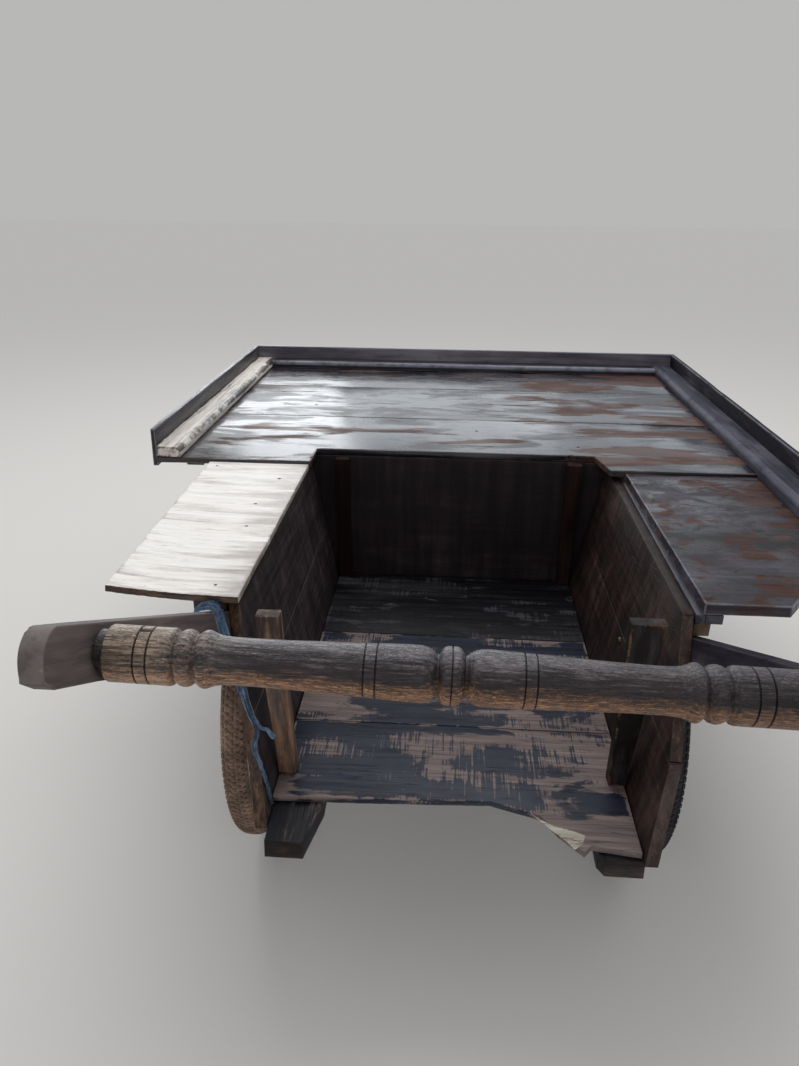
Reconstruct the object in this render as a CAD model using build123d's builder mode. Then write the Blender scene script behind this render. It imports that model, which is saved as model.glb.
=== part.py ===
# Hand cart: planked table, deep open bin, side flaps, turned handle bar, two spoked wheels
# Millimetres; X to the right, Y away from the user, Z up; drawn with the ground at Z 0 and the axle at Y 0
import math
import os
from build123d import *

os.makedirs("parts", exist_ok=True)

# Clearance between pieces that only just miss each other
gap = 0.3

# Wheels
wheel_radius = 330.0
tyre_width = 46.0
tyre_depth = 42.0
rim_width = 34.0
rim_depth = 18.0
rim_seat = 4.0
rim_well = 9.0
hub_half = 48.0
hub_radius = 21.0
hub_waist = 18.0
flange_radius = 36.0
flange_thick = 4.0
flange_offset = 27.0
spoke_thick = 2.6
spoke_pairs = 9
spoke_cross = 42.0
spoke_spread = 4.0
spoke_root = 5.0

# Axle
axle_radius = 10.0
axle_play = 0.08
collar_radius = 15.0
collar_length = 8.0
axle_nut_length = 9.0
axle_tip_radius = 8.0
axle_tip_length = 7.0
axle_block_half = 35.0
axle_block_below = 24.0

# Levels, from the wheels upward
wheel_headroom = 46.0
strip_deep = 17.0
flap_right_thick = 20.0
flap_left_thick = 12.0
flap_step = 7.0
deck_thick = 15.0
bin_deep = 292.0
floor_thick = 12.0
beam_deep = 34.0
strip_foot = 2 * wheel_radius + wheel_headroom
wall_top = strip_foot + strip_deep
flap_top = wall_top + flap_right_thick
flap_left_under = flap_top - flap_left_thick
deck_top = flap_top + flap_step
deck_under = deck_top - deck_thick
floor_top = wall_top - bin_deep
floor_under = floor_top - floor_thick
beam_under = floor_under - beam_deep

# Table plan
deck_left = -685.0
deck_right = 706.0
deck_near = 225.0
seam_near = 610.0
seam_far = 954.0
deck_far = 1263.0
seam_gap = 1.2
cut_left = -330.0
cut_right = 314.0
cut_right_near = 335.0
cut_far = 322.0
nick_x = 262.0
nick_half = 7.0
nick_deep = 5.0
rim_thick = 12.0
rim_above = 62.0
rim_below = 10.0
rim_left_back = 10.0
moulding_wide = 57.0
moulding_high = 24.0
moulding_round = 12.0

# Bin
wall_thick = 20.0
wall_drop = 11.0
wall_half_top = 344.0
bin_half_floor = 284.0
wall_lean = (wall_half_top - bin_half_floor) / bin_deep
wall_upper_deep = 162.0
front_wall_near = 316.0
front_wall_far = front_wall_near + wall_thick
floor_near = -489.0
floor_seam_near = -286.0
floor_seam_far = 26.0
post_thick = 24.0

# Side flaps, with their ledger strips and bearers
flap_left_inner = 10.0 - wall_half_top
flap_left_outer = -562.0
flap_left_narrow = 21.0
flap_left_near = -410.0
flap_warp = 12.0
flap_right_inner = wall_half_top + 25.0
flap_right_skew = 6.0
flap_right_near = -372.0
flap_right_corner_x = 505.0
flap_right_corner_y = -110.0
ledger_wide = 14.7
ledger_back = 5.0
bearer_wide = 28.0

# Floor beams and front legs
beam_near = -570.0
beam_past_leg = 15.0
leg_wide = 45.0
leg_setback = 338.0
leg_far = deck_far - leg_setback
leg_near = leg_far - leg_wide
table_bearer_deep = 40.0
batten_wide = 40.0
batten_deep = 18.0
batten_inset = 55.0
batten_back = 45.0

# Arms and handle
arm_thick = 25.5
arm_deep = 69.5
arm_far = -110.0
arm_near = -803.0
arm_nose = 51.0
arm_nose_drop = 35.0
arm_chin = 14.0
handle_y = -745.5
handle_radius = 31.5
handle_centre_x = -10.5
handle_shoulder = 25.5
shoulder_long = 10.5
tenon_radius = 12.0
tenon_length = 24.0
tenon_root = 30.0
pack_wide = 26.0
pack_near = -357.0
pack_long = 35.0
pack_offset = 4.5

# Tyres stand clear of the bin's top edge
tyre_clear = 7.5
tyre_centre_x = wall_half_top + wall_thick + tyre_clear + tyre_width / 2

# Arms: name, side, a point on the top edge (Y, height over the wall's top), rise, depth of the handle's centre
arm_table = (
    ("left", -1, -417.6, -3.2, 0.51, 36.0),
    ("right", 1, -436.5, -9.2, 0.462, 27.5),
)

# The finished pieces are moved so that the origin lies on the ground, under the middle of the whole cart
origin_x = (deck_left + deck_right) / 2
origin_y = (arm_near - arm_nose + deck_far + rim_thick) / 2


def wall_inner(z):
    return wall_half_top - (wall_top - z) * wall_lean


def wall_outer(z):
    return wall_inner(z) + wall_thick


def lean_plane(side, offset):
    # A plane along the outer face of a bin wall, facing outward, moved in by the offset
    outward = Vector(side, 0.0, -wall_lean).normalized()
    return Plane(origin=Vector(side * wall_outer(wall_top), 0.0, wall_top) - outward * offset, z_dir=outward)


def arm_top(row, y):
    return wall_top + row[3] + (row[2] - y) * row[4]


def handle_end(row):
    z = arm_top(row, handle_y) - row[5]
    return Vector(row[1] * wall_outer(z), handle_y, z)


def keep(builder, name):
    moved = Location((-origin_x, -origin_y, 0.0)) * builder.part
    moved.label = name
    export_step(moved, "parts/" + name + ".step")


def block(x_range, y_range, z_range):
    size = (x_range[1] - x_range[0], y_range[1] - y_range[0], z_range[1] - z_range[0])
    centre = ((x_range[0] + x_range[1]) / 2, (y_range[0] + y_range[1]) / 2, (z_range[0] + z_range[1]) / 2)
    with Locations(centre):
        Box(*size)


# Table planks, laid from side to side; the near one has the cut-out over the bin and a small nick in it
with BuildPart() as plank_near:
    with BuildSketch(Plane.XY.offset(deck_under)):
        with BuildLine():
            Polyline(
                (deck_left, deck_near),
                (cut_left, deck_near),
                (cut_left, cut_far),
                (nick_x - nick_half, cut_far),
                (nick_x, cut_far + nick_deep),
                (nick_x + nick_half, cut_far),
                (cut_right, cut_far),
                (cut_right_near, deck_near),
                (deck_right, deck_near),
                (deck_right, seam_near - seam_gap),
                (deck_left, seam_near - seam_gap),
                close=True,
            )
        make_face()
    extrude(amount=deck_thick)
keep(plank_near, "table_plank_near")

plank_table = (("table_plank_middle", seam_near, seam_far - seam_gap), ("table_plank_far", seam_far, deck_far))
for name, near, far in plank_table:
    with BuildPart() as plank:
        block((deck_left, deck_right), (near, far), (deck_under, deck_top))
    keep(plank, name)

# Rim boards on three sides of the table
rim_top = deck_top + rim_above
rim_foot = deck_under - rim_below
rim_table = (
    ("rim_left", deck_left - rim_thick, deck_left, deck_near + rim_left_back, deck_far),
    ("rim_right", deck_right, deck_right + rim_thick, flap_right_corner_y, deck_far),
    ("rim_front", deck_left - rim_thick, deck_right + rim_thick, deck_far, deck_far + rim_thick),
)
for name, x0, x1, y0, y1 in rim_table:
    with BuildPart() as rim_board:
        block((x0, x1), (y0, y1), (rim_foot, rim_top))
    keep(rim_board, name)

# Mouldings inside the rim, rounded along the inner top edge; the right one runs on over the flap
moulding_top = deck_top + moulding_high
moulding_table = (("moulding_left", 1, deck_left, deck_near), ("moulding_right", -1, deck_right, flap_right_corner_y))
for name, side, edge, near in moulding_table:
    inner_x = edge + side * moulding_wide
    round_x = inner_x - side * moulding_round
    with BuildPart() as moulding:
        with BuildSketch(Plane.XZ.offset(-deck_far)):
            with BuildLine():
                Polyline((inner_x, moulding_top - moulding_round), (inner_x, deck_top), (edge, deck_top))
                Polyline((edge, deck_top), (edge, moulding_top), (round_x, moulding_top))
                TangentArc((round_x, moulding_top), (inner_x, moulding_top - moulding_round), tangent=(side, 0.0))
            make_face()
        extrude(amount=deck_far - near)
        if near < deck_near:
            block(sorted((edge, inner_x)), (near, deck_near), (flap_top, deck_top))
    keep(moulding, name)

with BuildPart() as moulding_front:
    near_y = deck_far - moulding_wide
    with BuildSketch(Plane.YZ.offset(deck_left + moulding_wide)):
        with BuildLine():
            Polyline((near_y, moulding_top - moulding_round), (near_y, deck_top), (deck_far, deck_top))
            Polyline((deck_far, deck_top), (deck_far, moulding_top), (near_y + moulding_round, moulding_top))
            TangentArc(
                (near_y + moulding_round, moulding_top),
                (near_y, moulding_top - moulding_round),
                tangent=(-1.0, 0.0),
            )
        make_face()
    extrude(amount=deck_right - deck_left - 2 * moulding_wide)
keep(moulding_front, "moulding_front")

# Floor beams: name, side, outer side, width, split width, split length
beam_table = (
    ("left", -1, wall_inner(floor_under - wall_drop), 78.0, 18.5, 90.0),
    ("right", 1, wall_inner(floor_under) + 5.5, 68.0, 10.0, 16.0),
)

# Bearers, edge battens and legs under the table
batten_near = deck_near + batten_back
batten_table = (("left", deck_left + batten_inset), ("right", deck_right - batten_inset - batten_wide))
for side_name, x0 in batten_table:
    with BuildPart() as batten:
        block((x0, x0 + batten_wide), (batten_near, deck_far), (deck_under - batten_deep, deck_under))
    keep(batten, "table_batten_" + side_name)
for side_name, side, outer, *rest in beam_table:
    bearer_x = sorted((side * outer, side * (outer + leg_wide)))
    bearer_foot = deck_under - table_bearer_deep
    with BuildPart() as table_bearer:
        block(bearer_x, (front_wall_far, deck_far), (bearer_foot, deck_under))
    keep(table_bearer, "table_bearer_" + side_name)
    with BuildPart() as leg:
        block(bearer_x, (leg_near, leg_far), (0.0, bearer_foot))
    keep(leg, "front_leg_" + side_name)

# Bin side walls, two planks each: they lean outward, and their near ends slope
# The left one laps over its beam's side, and the right one stands on its beam
# Columns: name, side, foot, top, near end at the foot, near end at the top
wall_joint = wall_top - wall_upper_deep
wall_table = (
    ("bin_wall_left_upper", -1, wall_joint, wall_top, -472.0, -366.0),
    ("bin_wall_left_lower", -1, floor_under - wall_drop, wall_joint - seam_gap, -536.0, -454.0),
    ("bin_wall_right_upper", 1, wall_joint, wall_top, -520.0, -366.0),
    ("bin_wall_right_lower", 1, floor_under, wall_joint - seam_gap, -580.0, -524.0),
)
for name, side, foot, top, foot_near, top_near in wall_table:
    with BuildPart() as wall:
        with BuildSketch(Plane.XZ.offset(-front_wall_near)):
            with BuildLine():
                Polyline(
                    (side * wall_inner(top), top),
                    (side * wall_outer(top), top),
                    (side * wall_outer(foot), foot),
                    (side * wall_inner(foot), foot),
                    close=True,
                )
            make_face()
        extrude(amount=front_wall_near - foot_near)
        with BuildSketch(Plane.YZ):
            with BuildLine():
                Polyline(
                    (front_wall_near, top),
                    (top_near, top),
                    (foot_near, foot),
                    (front_wall_near, foot),
                    close=True,
                )
            make_face()
        extrude(amount=2 * wall_half_top, both=True, mode=Mode.INTERSECT)
    keep(wall, name)

with BuildPart() as front_wall:
    with BuildSketch(Plane.XZ.offset(-front_wall_far)):
        with BuildLine():
            Polyline(
                (-wall_outer(deck_under), deck_under),
                (wall_outer(deck_under), deck_under),
                (wall_outer(floor_under), floor_under),
                (-wall_outer(floor_under), floor_under),
                close=True,
            )
        make_face()
    extrude(amount=wall_thick)
keep(front_wall, "bin_front_wall")

# Posts standing on the floor: two in the front corners, two near the open end
# Columns: name, side, at the top the outer side's distance in from the wall's top edge, width and near face,
# at the foot the same from the wall's foot, height over the wall's top
corner_near = front_wall_near - post_thick
post_table = (
    ("corner_post_left", -1, 58.0, 34.0, corner_near, 3.0, 29.0, corner_near, 12.0),
    ("corner_post_right", 1, 58.0, 34.0, corner_near, 3.0, 29.0, corner_near, 12.0),
    ("end_post_left", -1, 48.0, 37.0, -470.0, 1.0, 31.0, -436.0, 22.0),
    ("end_post_right", 1, 42.0, 53.0, -450.0, 1.0, 29.0, -424.0, 22.0),
)
for name, side, top_in, top_wide, top_near, foot_in, foot_wide, foot_near, above in post_table:
    top_x = side * (wall_half_top - top_in - top_wide / 2)
    foot_x = side * (bin_half_floor - foot_in - foot_wide / 2)
    with BuildPart() as post:
        with BuildSketch(Plane.XY.offset(floor_top)):
            with Locations((foot_x, foot_near + post_thick / 2)):
                Rectangle(foot_wide, post_thick)
        with BuildSketch(Plane.XY.offset(wall_top + above)):
            with Locations((top_x, top_near + post_thick / 2)):
                Rectangle(top_wide, post_thick)
        loft(ruled=True)
    keep(post, name)

# Floor boards; the near one is broken away along its near edge
floor_half = wall_inner(floor_under) - gap
floor_table = (
    ("floor_board_far", floor_seam_far, front_wall_near),
    ("floor_board_middle", floor_seam_near, floor_seam_far - seam_gap),
)
for name, near, far in floor_table:
    with BuildPart() as floor_board:
        block((-floor_half, floor_half), (near, far), (floor_under, floor_top))
    keep(floor_board, name)

# The break: place across the cart, and how far the edge lies past the sound end of the board
break_table = ((62.0, 15.0), (138.0, -10.0), (163.0, -45.0), (197.0, -82.0), (209.0, -66.0))
break_end = -77.0
with BuildPart() as floor_board_near:
    with BuildSketch(Plane.XY.offset(floor_under)):
        with BuildLine():
            Polyline(
                (-floor_half, floor_seam_near - seam_gap),
                (-floor_half, floor_near),
                *[(x, floor_near + past) for x, past in break_table],
                (floor_half, floor_near + break_end),
                (floor_half, floor_seam_near - seam_gap),
                close=True,
            )
        make_face()
    extrude(amount=floor_thick)
keep(floor_board_near, "floor_board_near")

# Floor beams under the walls; a long piece has split off the left one's near end and a corner off the right one's
for side_name, side, outer, wide, split_wide, split_long in beam_table:
    inner = outer - wide
    with BuildPart() as beam:
        with BuildSketch(Plane.XY.offset(beam_under)):
            with BuildLine():
                Polyline(
                    (side * outer, beam_near),
                    (side * (inner + split_wide), beam_near),
                    (side * inner, beam_near + split_long),
                    (side * inner, leg_far + beam_past_leg),
                    (side * outer, leg_far + beam_past_leg),
                    close=True,
                )
            make_face()
        extrude(amount=beam_deep)
    keep(beam, "floor_beam_" + side_name)
    with BuildPart() as axle_block:
        block(
            sorted((side * inner, side * outer)),
            (-axle_block_half, axle_block_half),
            (wheel_radius - axle_block_below, beam_under),
        )
        with BuildSketch(Plane.YZ):
            with Locations((0.0, wheel_radius)):
                Circle(axle_radius + axle_play)
        extrude(amount=2 * outer, both=True, mode=Mode.SUBTRACT)
    keep(axle_block, "axle_block_" + side_name)

with BuildPart() as leg_rail:
    rail_left, rail_right = (row[1] * (row[2] - row[3]) for row in beam_table)
    block((rail_left, rail_right), (leg_near, leg_far), (beam_under, floor_under))
keep(leg_rail, "leg_rail")

# Left flap, narrower at its near end and warped upward toward its outer near corner
flap_near_wide = flap_left_inner - flap_left_outer - flap_left_narrow
flap_far_wide = flap_left_inner - flap_left_outer

# Strips of the flap from the bin outward: start and end as shares of the width, share of the lift at each
warp_table = ((0.0, 0.26, 0.0, 0.07), (0.26, 0.58, 0.07, 0.34), (0.58, 1.0, 0.34, 1.0))
with BuildPart() as flap_left:
    for start, end, start_share, end_share in warp_table:
        for near, wide, lift in ((flap_left_near, flap_near_wide, flap_warp), (deck_near, flap_far_wide, 0.0)):
            with BuildSketch(Plane.XZ.offset(-near)):
                with BuildLine():
                    Polyline(
                        (flap_left_inner - start * wide, flap_left_under + start_share * lift),
                        (flap_left_inner - end * wide, flap_left_under + end_share * lift),
                        (flap_left_inner - end * wide, flap_top + end_share * lift),
                        (flap_left_inner - start * wide, flap_top + start_share * lift),
                        close=True,
                    )
                make_face()
        loft(ruled=True)
keep(flap_left, "flap_left")

# Right flap, with its outer near corner sawn off
with BuildPart() as flap_right:
    with BuildSketch(Plane.XY.offset(wall_top)):
        with BuildLine():
            Polyline(
                (flap_right_inner + flap_right_skew, flap_right_near),
                (flap_right_corner_x, flap_right_near),
                (deck_right, flap_right_corner_y),
                (deck_right, deck_near),
                (flap_right_inner, deck_near),
                close=True,
            )
        make_face()
    extrude(amount=flap_right_thick)
keep(flap_right, "flap_right")

# Ledger strips and bearers under the flaps, along the outer faces of the walls and on under the table
# Columns: side name, side, near end, top
strip_far = front_wall_near - gap
strip_table = (
    ("left", -1, flap_left_near + ledger_back, flap_left_under),
    ("right", 1, flap_right_near, wall_top),
)
for side_name, side, near, top in strip_table:
    ledger_in = wall_outer(wall_top) + gap
    bearer_in = ledger_in + ledger_wide
    with BuildPart() as ledger:
        block(sorted((side * ledger_in, side * bearer_in)), (near, strip_far), (top - strip_deep, top))
    keep(ledger, "ledger_" + side_name)
    with BuildPart() as flap_bearer:
        block(sorted((side * bearer_in, side * (bearer_in + bearer_wide))), (near, strip_far), (top - strip_deep, top))
    keep(flap_bearer, "flap_bearer_" + side_name)

# The handle's line, from the left arm to the right one
handle_left_end = handle_end(arm_table[0])
handle_right_end = handle_end(arm_table[1])
handle_dir = (handle_right_end - handle_left_end).normalized()
handle_share = (handle_centre_x - handle_left_end.X) / (handle_right_end.X - handle_left_end.X)
handle_centre = handle_left_end + (handle_right_end - handle_left_end) * handle_share
handle_plane = Plane(origin=handle_centre, x_dir=handle_dir, z_dir=(0.0, -1.0, 0.0))
half_left = (handle_centre - handle_left_end).length
half_right = (handle_right_end - handle_centre).length

# Arms: planks on edge, lying along the leaning walls and rising to the handle, with a rounded nose
# Packing blocks stand on them under the flaps
for row, strip in zip(arm_table, strip_table):
    side_name, side = row[0], row[1]
    pack_top = strip[3] - strip_deep
    nose_y = arm_near - arm_nose
    nose_z = arm_top(row, arm_near) - arm_nose_drop
    chin_z = arm_top(row, nose_y + arm_chin) - arm_deep
    low = arm_top(row, arm_far) - arm_deep
    high = arm_top(row, nose_y)
    with BuildPart() as arm:
        with BuildSketch(Plane.XZ.offset(-arm_far)):
            with BuildLine():
                Polyline(
                    (side * wall_outer(high), high),
                    (side * (wall_outer(high) + arm_thick), high),
                    (side * (wall_outer(low) + arm_thick), low),
                    (side * wall_outer(low), low),
                    close=True,
                )
            make_face()
        extrude(amount=arm_far - nose_y)
        with BuildSketch(Plane.YZ):
            with BuildLine():
                Line((arm_far, arm_top(row, arm_far)), (arm_near, arm_top(row, arm_near)))
                ThreePointArc(
                    (arm_near, arm_top(row, arm_near)),
                    (arm_near - arm_nose * 0.75, nose_z + arm_nose_drop * 0.66),
                    (nose_y, nose_z),
                )
                Polyline((nose_y, nose_z), (nose_y + arm_chin, chin_z), (arm_far, low), (arm_far, arm_top(row, arm_far)))
            make_face()
        extrude(amount=2 * wall_half_top, both=True, mode=Mode.INTERSECT)
        with BuildSketch(Plane(origin=handle_centre, z_dir=handle_dir)):
            Circle(tenon_radius + gap)
        extrude(amount=2 * wall_half_top, both=True, mode=Mode.SUBTRACT)
    keep(arm, "arm_" + side_name)
    pack_far = pack_near + pack_long
    with BuildPart() as packing:
        with BuildSketch(Plane.YZ.offset(side * (wall_outer(wall_top) + pack_offset + pack_wide / 2))):
            with BuildLine():
                Polyline(
                    (pack_near, pack_top),
                    (pack_far, pack_top),
                    (pack_far, arm_top(row, pack_far) + gap),
                    (pack_near, arm_top(row, pack_near) + gap),
                    close=True,
                )
            make_face()
        extrude(amount=pack_wide / 2, both=True)
    keep(packing, "packing_block_" + side_name)

# The turned handle: a middle bead, two long swells, and a double bead and collar at each end
# Its outline from the middle outward: reach on the left, reach on the right, radius
handle_profile = (
    (5.0, 5.0, 31.8),
    (14.5, 14.5, 22.5),
    (21.0, 21.0, 27.2),
    (32.0, 32.0, 30.7),
    (95.0, 95.0, 29.2),
    (232.0, 224.0, 25.8),
    (256.0, 247.0, 28.5),
    (264.0, 255.0, 31.8),
    (274.5, 264.5, 26.3),
    (281.0, 271.5, 31.0),
    (290.0, 281.5, 31.0),
    (295.6, 289.5, 27.6),
    (300.0, 294.5, handle_radius),
)
left_line = [(-left, r) for left, right, r in reversed(handle_profile)]
right_line = [(right, r) for left, right, r in handle_profile]
with BuildPart() as handle:
    with BuildSketch(handle_plane):
        with BuildLine():
            Polyline(
                (-half_left - arm_thick, 0.0),
                (-half_left - arm_thick, handle_shoulder),
                (shoulder_long - half_left, handle_shoulder),
                (shoulder_long - half_left, handle_radius),
                *left_line,
                *right_line,
                (half_right - shoulder_long, handle_radius),
                (half_right - shoulder_long, handle_shoulder),
                (half_right + arm_thick, handle_shoulder),
                (half_right + arm_thick, 0.0),
                close=True,
            )
        make_face()
    revolve(axis=Axis(handle_centre, handle_dir))
    split(bisect_by=lean_plane(-1, gap), keep=Keep.BOTTOM)
    split(bisect_by=lean_plane(1, gap), keep=Keep.BOTTOM)
    for reach, sign in ((half_left, -1), (half_right, 1)):
        with BuildSketch(Plane(origin=handle_centre, z_dir=handle_dir * sign).offset(reach - tenon_root)):
            Circle(tenon_radius)
        extrude(amount=tenon_root + tenon_length)
keep(handle, "handle")

# Cloth strip: looped round the left arm, hanging inside the wall's near end down to the floor beam
cloth_row = arm_table[0]
cloth_y = -442.0
cloth_wide = 14.0
cloth_thick = 2.5
cloth_slack = 2.0
cloth_top = arm_top(cloth_row, cloth_y) + 6.0
cloth_high = wall_top - 83.0
cloth_low = floor_top + 39.0
cloth_route = (
    (-wall_outer(cloth_top) + cloth_wide / 2 + cloth_thick, cloth_y, cloth_top - 3.0),
    (3.0 - wall_inner(cloth_high), -462.0, cloth_high),
    (10.5 - wall_inner(wall_joint), -482.0, wall_joint),
    (8.0 - wall_inner(cloth_low), -497.0, cloth_low),
    (13.5 - wall_inner(floor_under), -501.0, floor_under + 4.0),
)
with BuildPart() as cloth:
    with BuildSketch(Plane.XZ.offset(-cloth_y - cloth_wide / 2)):
        z_up = cloth_top
        z_down = arm_top(cloth_row, cloth_y) - arm_deep - 6.0
        with BuildLine():
            Polyline(
                (-wall_outer(z_up) + cloth_slack + cloth_thick, z_up + cloth_thick),
                (-wall_outer(z_up) - arm_thick - cloth_slack - cloth_thick, z_up + cloth_thick),
                (-wall_outer(z_down) - arm_thick - cloth_slack - cloth_thick, z_down - cloth_thick),
                (-wall_outer(z_down) + cloth_slack + cloth_thick, z_down - cloth_thick),
                close=True,
            )
        make_face()
        with BuildLine():
            Polyline(
                (-wall_outer(z_up) + cloth_slack, z_up),
                (-wall_outer(z_up) - arm_thick - cloth_slack, z_up),
                (-wall_outer(z_down) - arm_thick - cloth_slack, z_down),
                (-wall_outer(z_down) + cloth_slack, z_down),
                close=True,
            )
        make_face(mode=Mode.SUBTRACT)
    extrude(amount=cloth_wide)
    with BuildLine() as cloth_line:
        Polyline(*cloth_route)
    start = Vector(*cloth_route[0])
    ahead = Vector(*cloth_route[1]) - start
    with BuildSketch(Plane(origin=start, x_dir=(1.0, 0.0, 0.3), z_dir=ahead)):
        Rectangle(cloth_wide, cloth_thick)
    sweep(path=cloth_line.line, transition=Transition.RIGHT)
keep(cloth, "cloth_strip")

# Axle with a collar and an end nut beside each hub
hub_in = tyre_centre_x - hub_half
hub_out = tyre_centre_x + hub_half
nut_end = hub_out + gap + axle_nut_length
axle_half = (
    (hub_in - gap - collar_length, axle_radius),
    (hub_in - gap - collar_length, collar_radius),
    (hub_in - gap, collar_radius),
    (hub_in - gap, axle_radius),
    (hub_out + gap, axle_radius),
    (hub_out + gap, collar_radius),
    (nut_end, collar_radius),
    (nut_end + axle_tip_length, axle_tip_radius),
    (nut_end + axle_tip_length, 0.0),
)
with BuildPart() as axle:
    with BuildSketch(Plane.XZ):
        with BuildLine():
            Polyline(*[(-x, r) for x, r in reversed(axle_half)], *axle_half, close=True)
        make_face()
    revolve(axis=Axis.X)
axle.part = Location((0.0, 0.0, wheel_radius)) * axle.part
keep(axle, "axle")

# Wheels: tyre, rim, and hub with its crossed spokes
rim_outer = wheel_radius - tyre_depth + rim_seat
rim_inner = rim_outer - rim_depth
half_tyre = tyre_width / 2
half_rim = rim_width / 2
bore_radius = axle_radius + axle_play
flange_out = flange_offset + flange_thick

# Half outlines: reach from the wheel's middle plane, radius
tyre_half = (
    (half_tyre * 0.6, wheel_radius),
    (half_tyre, wheel_radius - tyre_depth * 0.25),
    (half_tyre * 0.66, rim_outer + gap),
)
rim_half = (
    (half_rim, rim_outer),
    (half_rim - rim_well, rim_inner),
)
hub_outline = (
    (hub_half, bore_radius),
    (hub_half, hub_radius),
    (flange_out, flange_radius),
    (flange_offset, flange_radius),
    (flange_offset, hub_waist),
)
for side_name, side in (("left", -1), ("right", 1)):
    centre = Location((side * tyre_centre_x, 0.0, wheel_radius))
    for node, outline in (("tyre_", tyre_half), ("wheel_rim_", rim_half)):
        with BuildPart() as ring:
            with BuildSketch(Plane.XZ):
                with BuildLine():
                    Polyline(*outline, *[(-x, r) for x, r in reversed(outline)], close=True)
                make_face()
            revolve(axis=Axis.X)
        ring.part = centre * ring.part
        keep(ring, node + side_name)
    with BuildPart() as hub:
        with BuildSketch(Plane.XZ):
            with BuildLine():
                Polyline(*hub_outline, *[(-x, r) for x, r in reversed(hub_outline)], close=True)
            make_face()
        revolve(axis=Axis.X)
        for end in (-1, 1):
            for pair in range(spoke_pairs):
                for turn in (-1, 1):
                    base = math.radians(360.0 / spoke_pairs * (pair + 0.25 * end) + turn * spoke_spread)
                    tip = base + math.radians(turn * spoke_cross)
                    root = flange_radius - spoke_root
                    reach = rim_inner - gap
                    start = Vector(end * (flange_out + flange_offset) / 2, root * math.cos(base), root * math.sin(base))
                    stop = Vector(end * spoke_thick, reach * math.cos(tip), reach * math.sin(tip))
                    with BuildSketch(Plane(origin=start, z_dir=(stop - start))):
                        Rectangle(spoke_thick, spoke_thick)
                    extrude(amount=(stop - start).length)
    hub.part = centre * hub.part
    keep(hub, "hub_" + side_name)
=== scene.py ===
# Hand cart with a planked table, an open bin and a turned handle bar
import math
import random

import bmesh
import bpy
from mathutils import Matrix, Vector, noise


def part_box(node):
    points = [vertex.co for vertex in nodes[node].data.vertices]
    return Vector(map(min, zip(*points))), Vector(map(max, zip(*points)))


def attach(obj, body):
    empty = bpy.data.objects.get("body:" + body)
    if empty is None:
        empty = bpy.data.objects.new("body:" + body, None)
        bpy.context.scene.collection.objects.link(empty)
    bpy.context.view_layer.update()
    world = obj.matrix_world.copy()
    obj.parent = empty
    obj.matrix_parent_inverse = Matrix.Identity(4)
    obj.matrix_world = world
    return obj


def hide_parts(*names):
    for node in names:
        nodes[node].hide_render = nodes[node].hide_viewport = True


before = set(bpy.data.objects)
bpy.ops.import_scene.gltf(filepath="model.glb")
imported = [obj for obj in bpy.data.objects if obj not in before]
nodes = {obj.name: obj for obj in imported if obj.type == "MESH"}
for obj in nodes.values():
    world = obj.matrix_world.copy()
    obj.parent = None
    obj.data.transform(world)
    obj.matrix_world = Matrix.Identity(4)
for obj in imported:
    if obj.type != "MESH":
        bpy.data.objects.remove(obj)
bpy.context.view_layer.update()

view = bpy.context.scene


# camera, floor and lights

print("camera, floor and lights")
shot = {
    "place": (-0.0325, -1.6805, 1.32),
    "yaw": 3.597,
    "tilt": 66.515,
    "roll": 0.555,
    "lens": 27.007,
    "sensor": 36.0,
    "clipEnd": 200.0,
}


def turned(degrees, axis, size=4):
    return Matrix.Rotation(math.radians(degrees), size, axis)


camera = bpy.data.objects.new("camera", bpy.data.cameras.new("camera"))
view.collection.objects.link(camera)
facing = turned(shot["yaw"], "Z") @ turned(shot["tilt"], "X") @ turned(shot["roll"], "Z")
camera.matrix_world = Matrix.Translation(shot["place"]) @ facing
camera.data.lens = shot["lens"]
camera.data.sensor_width = shot["sensor"]
camera.data.clip_end = shot["clipEnd"]
view.camera = camera
view.view_settings.view_transform = "Standard"


def chip(red, green, blue):
    # a colour as a paint shop names it, 0 to 255, made linear for the shaders
    shares = (red / 255, green / 255, blue / 255)
    return tuple(v / 12.92 if v <= 0.04045 else ((v + 0.055) / 1.055) ** 2.4 for v in shares) + (1.0,)


studio = {
    "floorHalf": 30.0,
    "floorColour": chip(236, 233, 229),
    "skyColour": (0.96, 0.98, 1.0, 1.0),
    "skyLevel": 0.58,
    "backdrop": chip(184, 184, 183),
}
# place, aim, width, height, watts, tint
lamps = {
    "overhead": ((-0.3, 1.6, 4.3), (0.0, -0.2, 0.6), 3.6, 3.2, 70.0, (1.0, 1.0, 1.0)),
    "farLeft": ((-2.4, 6.4, 2.5), (-0.2, 0.4, 0.7), 2.6, 2.8, 78.0, (0.93, 0.97, 1.0)),
    "farMiddle": ((0.0, 6.6, 2.5), (0.0, 0.4, 0.7), 2.2, 2.8, 22.0, (0.86, 0.94, 1.0)),
    "farRight": ((2.0, 6.4, 2.5), (0.2, 0.4, 0.7), 1.8, 2.8, 8.0, (0.72, 0.86, 1.0)),
}


def put(tree, kind, sockets=None, **options):
    # one shader node with its options, then its values and links
    node = tree.nodes.new("ShaderNode" + kind)
    for option, value in options.items():
        setattr(node, option, value)
    for socket, value in (sockets or {}).items():
        if isinstance(value, Value):
            tree.links.new(value.socket, node.inputs[socket])
        else:
            node.inputs[socket].default_value = value
    return node


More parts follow.
